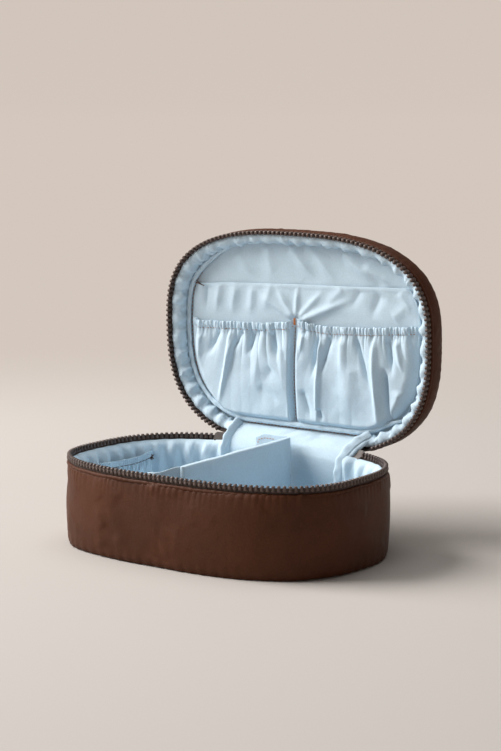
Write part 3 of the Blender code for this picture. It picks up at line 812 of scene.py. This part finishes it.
def make_end_pocket():
    """Small gathered pocket on the left end wall, with an elastic top edge."""
    share = np.linspace(0, 1, 230)
    x, y = outline(PI - 0.50 + 0.76 * share)
    dx, dy = np.gradient(x), np.gradient(y)
    size = np.hypot(dx, dy)
    nx, ny = -dy / size, dx / size
    run = travelled(np.stack([x, y], -1))
    seam_z = 45.6 * MM
    rows = [spread(8.5 * MM, 45.4 * MM, 0.7 * MM), spread(45.8 * MM, 50.6 * MM, 0.35 * MM)]
    z = np.concatenate(rows)[:, None]
    seam_row = int(np.argmin(np.abs(z - seam_z - 0.1 * MM)))
    below = np.maximum(seam_z - z, 0)
    casing = smooth((z - 45.0 * MM) / (1.2 * MM))
    fine = wave(run, 0.0024, 3)
    slanted = run + 0.25 * z
    free = 0.80 * fine * np.exp(-below / 0.0060) + 1.7 * pleat(slanted, 0.0052, 6) * np.exp(-below / 0.016)
    free = free + 0.9 * wave(slanted, 0.0085, 6) * np.exp(-below / 0.025)
    gathers = MM * (0.75 * fine * casing + free * (1 - casing) - 0.55 * peak(z, seam_z, 0.5 * MM))
    bulge = 10.5 * MM * np.sin(PI * share) ** 0.8 * np.clip(0.15 + (z - z[0]) / (18 * MM), 0, 1)
    inset = 6.6 * MM + bulge + gathers * faded(share, 0.06) + casing * 0.5 * MM
    z = z + casing * (0.30 * MM * fine - 2.0 * MM * np.sin(PI * share))
    points = grid(x + nx * inset, y + ny * inset, z)
    thing = cloth("end_pocket_panel", points, "lining", thickness=0.4 * MM, flip=True)
    finish_piece(thing, "tray", "lining_fabric", "end_pocket", "end_pocket_elastic")

    seam = points[seam_row]
    inward = np.stack([nx, ny, nx * 0], -1)
    line = (seam + inward * 0.75 * MM)[6:-6]
    outward = (1.0, 0.15, 0.15)
    stitches("end_pocket_stitches", "tray", line, outward, "dark_thread", 2.2 * MM, 1.7 * MM, 0.24 * MM)
    for place, label in ((8, "back"), (-9, "front")):
        centre = seam[place] + inward[place] * 0.7 * MM
        ahead = np.array([dx[place], dy[place], 0]) / size[place]
        for k, tilt in enumerate((0.8, -0.8, 1.5)):
            arm = 2 * MM * (ahead * math.cos(tilt) + np.array([0, 0, math.sin(tilt)]))
            ends = (centre - arm, centre + arm)
            tack(f"end_pocket_tack_{label}_{k}", "tray", ends, 0.36 * MM, "dark_thread")


# ---------------------------------------------------------------- divider


def make_divider():
    """Padded divider: a foam slab in a sewn sleeve, crowned between its seams, with a rolled top edge."""
    middle_x = (DIVIDER_LOW.x + DIVIDER_HIGH.x) / 2
    half = (DIVIDER_HIGH.x - DIVIDER_LOW.x) / 2
    turn = np.linspace(0, 2 * PI, 120, endpoint=False)
    c, s = np.cos(turn), np.sin(turn)
    ends = np.array([0.0, 0.004, 0.012, 0.022])
    share = np.concatenate([ends, np.linspace(0.032, 0.968, 130), 1 - ends[::-1]])[:, None]
    corner = np.clip(np.minimum(share, 1 - share) / 0.022, 0, 1)
    corner = np.sqrt(np.clip(1 - (1 - corner) ** 2, 0, 1)) * 0.85 + 0.15
    low = DIVIDER_LOW.z + 0.1 * MM
    top = DIVIDER_HIGH.z - 1.8 * MM * (1 - share)
    z = (low + top) / 2 + np.sign(s) * np.abs(s) ** 0.12 * (top - low) / 2
    puff = 0.55 * MM * np.sin(PI * np.clip(share, 0, 1)) ** 0.6 * np.abs(c) ** 0.5
    puff = puff * (0.35 + 0.65 * np.clip(np.sin((z - low) / (top - low) * PI), 0, 1))
    x = middle_x + np.sign(c) * (np.abs(c) ** 0.32 * half * corner + puff)
    points = grid(x, DIVIDER_LOW.y + (DIVIDER_HIGH.y - DIVIDER_LOW.y) * share, z)
    lines = drawn([(-30, 64, -26, 46, 2.2, 0.7), (-28, 62, -6, 50, 3, 0.6), (55, 60, 30, 30, 6, 0.6)])
    lines += drawn([(58, 63, 52, 30, 3, 0.7)])
    lines += scattered(12, 14, (-0.055, 0.058, 0.015, 0.060), 0.7, 1.2, 0.030, 0.0035, 0.45 * MM)
    relief = creases(points[..., 1], points[..., 2], lines) + 0.22 * MM * noise(points, 0.014, 9)
    out = points[..., 0] - middle_x
    points[..., 0] += np.sign(out) * smooth(np.abs(out) / half) * np.clip(relief, -0.35 * MM, 1.2 * MM)
    points[..., 2] += smooth((points[..., 2] - 0.060) / 0.004) * 0.30 * MM * noise(points, 0.016, 3)
    thing = cloth("divider_pad", points, "lining", wrap=True, thickness=0, capped=True)
    finish_piece(thing, "divider", "lining_fabric", "divider_cover")


def make_flap(end):
    """Fabric flap at one end of the divider, which holds to the patch on the wall."""
    face_x = DIVIDER_LOW.x + 0.6 * MM
    if end == "back":
        y = BACK_FLAP_LOW.y
        path = [(face_x, y + 0.1 * MM), (0.0, y), (BACK_FLAP_LOW.x, y + 0.1 * MM)]
    else:
        wall = FRONT_FLAP_LOW.y
        path = [(face_x, DIVIDER_LOW.y + 0.8 * MM), (-3.5 * MM, -64 * MM), (-8 * MM, wall + 0.1 * MM)]
        path.append((FRONT_FLAP_LOW.x + 4 * MM, wall + 0.2 * MM))
    x, y = resample(path, 0.6 * MM)
    run = travelled(np.stack([x, y], -1))
    low = 15.5 * MM
    top = 66.4 * MM if end == "back" else 64.0 * MM - 3.5 * MM * smooth(run / 0.016)
    corner = smooth((run - run[-1] + 0.008) / 0.008)
    points = grid(x, y, low + (top - low) * np.linspace(0, 1, 70)[:, None] * (1 - 0.05 * corner))
    relief = 0.22 * noise(points, 0.010, 7)
    relief = relief + 0.15 * wave(points[:, 0, 2], 0.008, 5)[:, None] * np.linspace(0, 1, len(x))
    points[..., 1] += MM * relief * (1 if end == "front" else -1)
    thing = cloth(f"divider_{end}_tab", points, "lining", thickness=0.6 * MM, flip=end == "back")
    finish_piece(thing, "divider", "lining_fabric", f"divider_{end}_flap")
    out = np.array([0, -1.0, 0]) if end == "back" else np.array([0, 1.0, 0.3])
    line = np.concatenate([points[20:-4, -5], points[-5, 14:-4][::-1]]) + out * 0.45 * MM
    stitches(f"divider_{end}_stitches", "divider", line, out, "rust", 2.4 * MM, 1.8 * MM, 0.24 * MM)


# ---------------------------------------------------------------- lid


def make_lid_wall():
    """Brown wall of the lid, all round, rolled over to the piped seam of its top panel."""
    section = [(1.2, 6.0), (0.4, 6.6), (-0.1, 8.0), (-0.4, 11.0), (-0.4, 14.5), (0.0, 17.2), (0.9, 19.0)]
    inset, d = profile([*section, (2.2, 19.9)], 0.7)
    s = LOOP.all_round(900)
    points = swept(s, inset, RIM_Z + d)
    lines = scattered(37, 60, (0, LOOP.length, 0.004, 0.020), 0.3, 0.8, 0.020, 0.0025, 0.35 * MM)
    relief = 0.40 * noise(points, 0.040, 33) + 0.22 * noise(points, 0.015, 34)
    relief = relief + 0.22 * wave(s, 0.0058, 35) * np.exp(-(d - 0.006) / 0.004)
    relief = relief + 0.18 * wave(s, 0.0066, 36) * np.exp(-(0.020 - d) / 0.003)
    relief = MM * relief + creases(s[None], d, lines)
    points = swung(points - normals(points, True) * relief[..., None])
    wall = cloth("lid_outer_wall", points, "shell", wrap=True, thickness=0.45 * MM, flip=True)

    turn = (PI / 4 * np.arange(9))[:, None]
    radius = 0.75 * MM * (1 + 0.08 * wave(s, 0.006, 41))
    points = swept(s, 2.5 * MM + radius * np.cos(turn), RIM_Z + LID_DEPTH + radius * np.sin(turn))
    piping = cloth("lid_top_piping", swung(points), "shell", wrap=True, thickness=0)
    finish_piece(wall, "lid", "shell_fabric", "lid_wall_shell", "lid_back_shell")
    finish_piece(piping, "lid", "shell_fabric")


def make_lid_top():
    """Top panel of the lid, crowned by its padding, with slack drag lines."""
    lines = scattered(51, 40, (-0.1, 0.1, -0.07, 0.07), 0.9, 1.3, 0.045, 0.0050, 0.45 * MM)

    def lift(x, y):
        share = np.clip(1 - (np.abs(x) / 0.107) ** 2.6 - (np.abs(y + 0.002) / 0.074) ** 2.6, 0, 1)
        relief = 0.5 * MM * flat_noise(x, y, 0.040, 52) + 0.25 * MM * flat_noise(x, y, 0.016, 53)
        relief = relief + creases(x, y, lines)
        return RIM_Z + LID_DEPTH + 0.1 * MM + 2.4 * MM * share**0.5 + relief * smooth(share / 0.15)

    thing = disc("lid_outer_top", "shell", 2.6 * MM, 420, 80, lift, turn=swung, flip=True)
    finish_piece(thing, "lid", "shell_fabric", "lid_top_panel")


def left_share(x):
    """0 in most of the lid and 1 at its left, where the ring inside it is wider."""
    return smooth((-x - 0.050) / 0.045)


def make_gusset():
    """Ring of slack lining inside the lid, from the zip tape in to the panel seam."""
    s = LOOP.round_front(0.0490, 0.5 * MM)
    section = [(2.5, 5.4), (2.5, 4.3), (3.4, 3.5), (5.0, 3.3), (6.8, 3.9), (8.0, 5.2), (8.6, 7.0), (8.6, 9.0)]
    section += [(8.3, 10.6), (8.6, 11.6)]
    inset, d = profile(section, 0.45)
    share = np.linspace(0, 1, len(inset))[:, None]
    turn = end_turn(s) * (1 - share)
    inset = inset + turn * 3.6 * MM + 0.6 * LEFT_EXTRA * left_share(LOOP.at(s)[0]) * share**1.5
    points = swept(s, inset, RIM_Z + d - turn * 6.6 * MM)
    lines = scattered(64, 110, (s[0], s[-1], 0.0, 0.016), 1.3, 0.9, 0.010, 0.0016, 0.95 * MM)
    belly = np.sin(PI * np.clip(share, 0, 1)) ** 1.2
    folds = (1.35 * wave(s + 0.0015 * np.sin(share * 3), 0.0135, 61) + 0.5 * noise(points, 0.012, 65)) * belly
    folds = folds + 1.05 * pleat(s + 0.004 * share, 0.0082, 62) * smooth((share - 0.25) / 0.5)
    folds = folds + 0.28 * wave(s, 0.0036, 63) * smooth((0.35 - share) / 0.3)
    folds = MM * folds + creases(s[None], 16 * MM * share, lines) * belly
    points = swung(points - normals(points) * folds[..., None])
    thing = cloth("lid_lining_gusset", points, "lining", thickness=0.4 * MM, flip=True)
    finish_piece(thing, "lid", "lining_fabric", "lid_wall_lining")


PANEL_FOLDS = [
    (-12, 139, 12, 114, 4.0, 2.0),
    (4, 140, 30, 113, 4.2, 1.6),
    (30, 137, 64, 114, 4.5, 2.3),
    (22, 139, 40, 124, 3.6, -1.4),
    (50, 128, 82, 112, 3.5, 1.5),
    (-55, 132, -40, 112, 6.0, 1.0),
    (-30, 138, -24, 112, 4.5, 1.0),
    (62, 112, 86, 104, 3.0, 0.7),
]


def make_panel():
    """Lining of the lid's panel, with long slack folds above the slip pocket."""
    lines = drawn(PANEL_FOLDS)

    def lift(x, y):
        relief = 0.55 * MM * flat_noise(x, y, 0.022, 71) + 0.20 * MM * flat_noise(x, y, 0.008, 72)
        return RIM_Z + PANEL_D - np.maximum(relief + 1.4 * creases(x, BACK_Y - y, lines), -0.3 * MM)

    thing = disc("lid_lining_panel", "lining", 8.4 * MM, 420, 110, lift, turn=swung)
    finish_piece(thing, "lid", "lining_fabric", "lid_panel_lining")


def half_width_at(v, inset):
    """Half the width of the inset outline at a distance v from the hinge line."""
    x, y = LOOP.at(np.linspace(0, LOOP.length / 2, 2400), inset)
    flat = BACK_Y - y
    order = np.argsort(flat)
    return np.interp(v, flat[order], x[order])


def drawn_curve(x, places, heights):
    """A line given point by point, in millimetres, that gives a v for each x."""
    return np.interp(x, np.array(places) * MM, np.array(heights) * MM)


def slip_top(x):
    """Top edge of the slip pocket, which rises a little to the right."""
    return drawn_curve(x, [-90, -62, -2, 40, 86], [105.6, 108.0, 110.6, 112.0, 114.0])


def casing_low(x):
    """Stitch line under the elastic of the two gathered pockets."""
    places = [-93, -83, -53, -30, -10, -4.2, 6, 15, 27, 60, 93]
    return drawn_curve(x, places, [76.5, 75.0, 76.4, 77.2, 79.4, 82.4, 80.4, 79.2, 79.0, 80.8, 84.0])


SLIP_FAN = [  # folds from the tack: how far across and up, then width and height
    (50, 19, 2.6, 1.7),
    (26, 24, 2.2, 1.1),
    (2, 26, 2.0, 1.2),
    (-18, 24, 2.4, 1.4),
    (-36, 18, 2.6, 0.9),
]
SLIP_FOLDS = [
    (66, 110, 56, 90, 4.2, -1.3),
    (80, 112, 92, 94, 3.0, 0.9),
    (36, 111, 20, 97, 3.4, 0.9),
    (50, 111, 40, 96, 3.0, -0.8),
    (-40, 108, -44, 84, 3.6, 1.0),
    (-54, 108, -60, 84, 3.6, 1.1),
    (-68, 108, -74, 84, 3.4, 1.2),
    (-80, 107, -82, 86, 2.6, -1.1),
    (-24, 110, -32, 88, 3.6, 0.8),
    (74, 92, 88, 104, 4.0, 0.8),
]


def make_slip_pocket():
    """Flat pocket across the lid, drawn into folds that fan out from the tack in its middle."""
    share = np.linspace(0, 1, 150)[:, None]
    across = np.linspace(-1, 1, 320)
    x = across * 90 * MM
    half = half_width_at(SLIP_LOW_V + (slip_top(x) - SLIP_LOW_V) * share, 12.4 * MM)
    x = across * half + smooth(-across / 0.5) * LEFT_EXTRA * left_share(-half)
    v = SLIP_LOW_V + (slip_top(x) - SLIP_LOW_V) * share
    star_x, star_v = STAR
    lines = [(star_x, star_v, star_x + x1 * MM, star_v + v1 * MM, w * MM, h * MM) for x1, v1, w, h in SLIP_FAN]
    lines[0] = (star_x, star_v - 2 * MM, *lines[0][2:])
    relief = 1.35 * creases(x, v, lines + drawn(SLIP_FOLDS))
    relief = relief + 0.55 * MM * flat_noise(x, v, 0.020, 81) + 0.22 * MM * flat_noise(x, v, 0.008, 82)
    hem = 0.30 * MM * peak(slip_top(x) - v, 1.6 * MM, 1.4 * MM)
    gap = 0.6 * MM * smooth((v - 0.080) / 0.020)
    sides = smooth((1 - np.abs(across)) / 0.035)
    pulled_in = 1.2 * MM * np.exp(-(((x - star_x) ** 2 + (v - star_v) ** 2) / (3.5 * MM) ** 2))
    points = in_lid(x, v, 11.6 * MM - (relief + gap + hem) * sides + pulled_in)
    thing = cloth("lid_slip_pocket", points, "lining", thickness=0.5 * MM, flip=True)
    finish_piece(thing, "lid", "lining_fabric", "slip_pocket")
    for k, (xs, vs) in enumerate((((-90.0, -82.5), (106.5, 104.5)), ((-89.5, -85.0), (108.0, 105.0)))):
        ends = in_lid(np.array(xs) * MM, np.array(vs) * MM, 9.9 * MM)
        tack(f"slip_pocket_tack_{k}", "lid", ends, 0.30 * MM, "dark_thread")


POCKET_FOLDS = {
    "left": [
        (-67, 76, -77, 55, 2.6, -2.3),
        (-47, 76.5, -56, 60, 2.4, -2.0),
        (-36.5, 77, -43, 57, 2.2, -1.8),
        (-23.5, 78, -16.5, 56, 2.4, -2.1),
        (-56.5, 77, -62, 40, 2.0, 1.2),
        (-54, 74, -69, 14, 1.5, 1.5),
        (-30, 76, -38, 30, 4.5, 1.0),
        (-83, 72, -86, 46, 2.2, 1.2),
        (-14, 72, -12, 28, 4.0, 0.9),
        (-34, 38, -12, 26, 4.0, -0.7),
        (-20, 52, -30, 40, 5.0, -0.8),
    ],
    "right": [
        (16.5, 79, 11.5, 46, 1.9, -2.2),
        (26.5, 79, 18.5, 48, 2.3, -2.6),
        (18.8, 80, 15.6, 4, 1.5, 1.7),
        (46.5, 80, 61, 42, 1.9, -2.4),
        (61.5, 84, 68.8, 2, 2.4, 2.4),
        (71.5, 82, 77.5, 52, 2.4, -3.6),
        (70.5, 62, 76, 8, 2.0, -3.4),
        (3.5, 40, 12.5, 16, 2.4, -1.4),
        (36, 78, 38, 50, 4.0, 1.2),
        (80, 80, 86, 56, 2.0, 1.5),
        (5.5, 78, 2.5, 62, 1.8, 1.2),
        (17, 28, 21.5, 17, 1.6, -1.6),
        (45, 62, 41, 20, 7.0, 0.9),
        (84, 46, 79, 24, 5.0, 1.4),
    ],
}


def pocket_edge(side, v):
    """x of the outer side of a gathered pocket."""
    half = half_width_at(v, 13.2 * MM)
    return side * half + (LEFT_EXTRA * left_share(-half) if side < 0 else 0.0)


def seam_bow(v):
    """How far the middle seam bows to the left."""
    return 1.6 * MM * np.sin(PI * np.clip((v - 14 * MM) / 0.070, 0, 1))


def pocket_surface(side, name):
    """x, v and depth grids of a gathered pocket, from its bottom seam to its stitch line."""
    seam = STAR[0] + side * 0.3 * MM
    share = np.linspace(0, 1, 120)[:, None]
    across = np.linspace(0, 1, 260)
    low = 15.0 * MM if side < 0 else 14.6 * MM
    v = low + (casing_low(seam + side * across * 0.088) - low) * share
    seam_x = seam - seam_bow(v)
    x = seam_x + (pocket_edge(side, v) - seam_x) * across
    low = 14.2 * MM + 4.0 * MM * smooth((np.abs(x) - 0.050) / 0.030)
    v = low + (casing_low(x) - low) * share
    outer = pocket_edge(side, v)
    x = seam_x + (outer - seam_x) * across

    at_edge, above, below = np.abs(outer - x), v - low, casing_low(x) - v
    from_seam, steep = (1.5 * MM, 1.7 * MM) if side < 0 else (0.6 * MM, 5.0 * MM)
    ramp = smooth((np.abs(x - seam_x) - from_seam) / steep)
    belly = 5.6 * MM * ramp**0.8 * smooth(at_edge / (8 * MM)) ** 0.7 * smooth(above / (4.5 * MM)) ** 0.6
    belly = belly * (1 - 0.55 * np.exp(-below / (12 * MM)))
    run = x - (x - STAR[0] - side * 0.040) * smooth(below / (40 * MM)) * 0.25
    folds = 0.65 * pleat(x, 0.0027, 91 + side) * np.exp(-below / (3.4 * MM))
    folds = folds + 1.35 * pleat(run, 0.0068, 92 + side) * np.exp(-below / (13 * MM))
    folds = folds + 1.10 * wave(run, 0.0170, 95 + side) * np.exp(-below / (32 * MM))
    folds = folds + 0.55 * pleat(x, 0.0095, 96 + side) * np.exp(-above / (7 * MM))
    folds = folds + 0.65 * flat_noise(x, v, 0.016, 97 + side) + 0.20 * flat_noise(x, v, 0.006, 98)
    folds = MM * folds + 1.6 * creases(x, v, drawn(POCKET_FOLDS[name]))
    folds = folds * smooth(at_edge / (3 * MM)) * ramp * smooth(above / (4 * MM))
    return x, v, np.minimum(11.0 * MM - belly - folds, 11.2 * MM)


def make_pocket(side, name):
    """Gathered pocket with its elastic top casing and the row of stitches under it."""
    x, v, d = pocket_surface(side, name)
    pocket = cloth(f"lid_pocket_{name}", in_lid(x, v, d), "lining", thickness=0.45 * MM, flip=side > 0)
    order = np.argsort(side * x[-1])
    top_x, top_d = side * x[-1][order], d[-1][order]

    share = np.linspace(0, 1, 16)[:, None]
    across = np.linspace(0, 1, 420)
    seam = STAR[0] + side * 0.2 * MM
    outer = float(pocket_edge(side, 0.080))
    x = seam + (outer - seam) * across
    ruffle = pleat(x + 0.8 * MM * (share - 0.5), 0.0026, 101 + side, 1.6)
    v = casing_low(x) - 0.2 * MM + share * MM * (4.9 + 0.30 * ruffle + 0.2 * wave(x, 0.006, 9))
    hump = np.sin(PI * share)
    depth_of_ruffle = (0.85 * ruffle + 0.18 * wave(x, 0.0014, 104 + side)) * (0.35 + 0.65 * hump**0.4)
    d = np.interp(side * x, top_x, top_d) - MM * (0.5 * hump**0.5 + depth_of_ruffle * faded(across, 0.02))
    casing = cloth(f"lid_elastic_{name}", in_lid(x, v, d), "lining", thickness=0.45 * MM, flip=side > 0)
    finish_piece(pocket, "lid", "lining_fabric", f"gathered_pocket_{name}")
    finish_piece(casing, "lid", "lining_fabric", f"pocket_elastic_{name}")

    x = np.linspace(seam + side * 1 * MM, outer - side * 1 * MM, 200)
    line = in_lid(x, casing_low(x), np.interp(side * x, top_x, top_d) - 0.75 * MM)
    stitches(f"pocket_stitches_{name}", "lid", line, LID_OUT, pitch=2.3 * MM, length=1.5 * MM)


def make_lid_seams():
    """Rust stitches down the middle seam and round the panel, with the tack at the top of the middle seam."""
    v = np.linspace(16 * MM, 82 * MM, 60)
    line = in_lid(STAR[0] - seam_bow(v), v, 10.3 * MM)
    stitches("middle_seam_stitches", "lid", line, LID_OUT, "rust", 2.4 * MM, 1.7 * MM, 0.22 * MM)
    for k, offset in enumerate((-0.5, 0.0, 0.5)):
        ends = in_lid(STAR[0] + offset * MM, STAR[1] + np.array([-3.4, 1.4]) * MM, 9.0 * MM)
        tack(f"middle_tack_{k}", "lid", ends, 0.34 * MM, "rust", rings=8)
    s = spread(0.66 * LOOP.length, 0.86 * LOOP.length, 1 * MM)
    stitches("panel_seam_stitches", "lid", swung(swept(s, 14.9 * MM, RIM_Z + 11.2 * MM)), LID_OUT)
    line = in_lid(np.linspace(-46 * MM, 48 * MM, 90), 10.9 * MM, 9.0 * MM)
    stitches("bottom_seam_stitches", "lid", line, LID_OUT)


def make_seam_binding():
    """Binding of the panel seam: a flat strip up the sides and over the top, a full roll along the bottom."""
    s = LOOP.all_round(900)
    x, y = LOOP.at(s)
    bottom = smooth((y - 0.050) / 0.014)
    left = left_share(x) * (1 - bottom)
    turn = (2 * PI / 14 * np.append(np.arange(14), 0))[:, None]
    wide = (1.0 + 0.9 * bottom + 0.7 * left) * MM * (1 + 0.08 * wave(s, 0.013, 111))
    deep = (1.3 + 0.5 * bottom - 0.4 * left) * MM
    inset = (8.2 + 4.9 * bottom + 4.4 * left) * MM + wide * np.cos(turn)
    d = (10.4 - 1.2 * bottom + 0.25 * wave(s, 0.009, 112)) * MM + deep * np.sin(turn)
    points = swung(swept(s, inset, RIM_Z + d))
    thing = cloth("lid_seam_roll", points, "lining", wrap=True, thickness=0, flip=True)
    finish_piece(thing, "lid", "lining_fabric", "lid_seam_binding")


# ---------------------------------------------------------------- CAD nodes that stay

KEPT_NODES = {
    "metal": ["slider_left", "slider_right", "pull_ring_left", "pull_ring_right"],
    "leather": ["pull_tab_left", "pull_tab_right"],
    "tape": ["zip_end_left", "zip_end_right"],
    "patch": ["back_loop_patch", "front_loop_patch"],
    "board": ["base_board", "lid_board"],
    "foam": [
        "base_foam",
        "tray_wall_foam",
        "tray_back_foam",
        "divider_core",
        "lid_panel_foam",
        "lid_wall_foam",
    ],
}


def dress_cad_nodes():
    """Procedural looks for the CAD nodes that stay: metal, pulls, patches and what is inside the padding."""
    for look, nodes in KEPT_NODES.items():
        for node in nodes:
            materials = frame["nodes"][node].data.materials
            materials.clear()
            materials.append(LOOKS[look])


# ---------------------------------------------------------------- studio

BLACK = (0.0, 0.0, 0.0)
NEAR_FLOOR = (0.480, 0.452, 0.430)
BACKDROP_GLOW = (0.640, 0.560, 0.500)
STUDIO_REACH, STUDIO_CURVE, STUDIO_TOP = 6.0, 1.5, 2.8
CAMERA_PLACE, CAMERA_TARGET = (0.9503, -1.2793, 0.3616), (0.0055, 0.0181, 0.1142)
CAMERA_LENS, CAMERA_SENSOR = 117.15, 36
LIGHTS = {  # place, size, power and colour
    "key": ((-2.35, -1.12, 2.00), 2.10, 200.0, (1.0, 0.975, 0.945)),
    "top": ((-0.20, 0.30, 1.90), 1.50, 15.0, (1.0, 0.975, 0.95)),
}
LIT_POINT = (0.0, 0.0, 0.08)
AIR_COLOUR, AIR_STRENGTH = (1.0, 0.96, 0.92, 1.0), 0.055


def studio_material():
    """Pale matt floor near the pouch that passes into an evenly lit backdrop further away."""
    nodes = Nodes("studio_floor")
    reach = nodes.add("ShaderNodeVectorMath", operation="LENGTH")
    nodes.link(nodes.space, "Object", reach, 0)
    settings = {"From Min": 0.42, "From Max": 1.00}
    share = nodes.add("ShaderNodeMapRange", interpolation_type="SMOOTHSTEP", **settings)
    nodes.link(reach, "Value", share, "Value")
    near = nodes.ramp(share, "Result", [(0.0, NEAR_FLOOR), (1.0, BLACK)])
    nodes.link(near, "Color", nodes.shader, "Base Color")
    far = nodes.ramp(share, "Result", [(0.0, BLACK), (1.0, BACKDROP_GLOW)])
    nodes.link(far, "Color", nodes.shader, "Emission Color")
    nodes.shader.inputs["Emission Strength"].default_value = 1.0
    nodes.shader.inputs["Roughness"].default_value = 0.9
    nodes.shader.inputs["Specular IOR Level"].default_value = 0.1
    return nodes.material


def place(name, data, where, target):
    """Adds a light or camera that looks at a target."""
    thing = bpy.data.objects.new(name, data)
    thing.location = where
    thing.rotation_euler = (Vector(target) - Vector(where)).to_track_quat("-Z", "Y").to_euler()
    bpy.context.scene.collection.objects.link(thing)
    return thing


def make_studio():
    """Pale floor with a low wall far round it, a large soft light from the left, one above, and the camera."""
    line = [(reach, 0.0) for reach in (0.002, 0.3, 0.6, 0.9, 1.3, 2.0, 3.0, 4.5, STUDIO_REACH)]
    for turn in PI / 16 * np.arange(1, 9):
        line.append((STUDIO_REACH + STUDIO_CURVE * math.sin(turn), STUDIO_CURVE * (1 - math.cos(turn))))
    line.append((STUDIO_REACH + STUDIO_CURVE, STUDIO_TOP))
    radius, z = (column[:, None] for column in np.array(line).T)
    turn = np.linspace(0, 2 * PI, 96, endpoint=False)
    LOOKS["studio"] = studio_material()
    points = grid(radius * np.cos(turn), radius * np.sin(turn), z)
    cloth("studio_floor", points, "studio", wrap=True, thickness=0)

    for name, (where, size, power, colour) in LIGHTS.items():
        light = bpy.data.lights.new(name, "AREA")
        light.size, light.energy, light.color = size, power, colour
        place(name, light, where, LIT_POINT)
    scene = bpy.context.scene
    scene.world = scene.world or bpy.data.worlds.new("studio_air")
    scene.world.use_nodes = True
    air = scene.world.node_tree.nodes["Background"]
    air.inputs["Color"].default_value = AIR_COLOUR
    air.inputs["Strength"].default_value = AIR_STRENGTH
    scene.view_settings.view_transform = "Standard"

    camera = bpy.data.cameras.new("camera")
    camera.lens, camera.sensor_width = CAMERA_LENS, CAMERA_SENSOR
    camera.clip_start, camera.clip_end = 0.05, 20
    scene.camera = place("camera", camera, CAMERA_PLACE, CAMERA_TARGET)


def make_zip(half):
    make_welt(half)
    make_tape(half)
    make_teeth(half)


def main():
    make_studio()
    make_zip("tray")
    make_outer_wall()
    make_base()
    make_ribbon(-1, "left")
    make_ribbon(1, "right")
    make_tray_lining()
    make_floor()
    make_hinge_lining()
    make_hinge_outer()
    make_end_pocket()
    make_divider()
    make_flap("back")
    make_flap("front")
    make_zip("lid")
    make_lid_wall()
    make_lid_top()
    make_gusset()
    make_panel()
    make_slip_pocket()
    make_pocket(-1, "left")
    make_pocket(1, "right")
    make_lid_seams()
    make_seam_binding()
    dress_cad_nodes()


main()
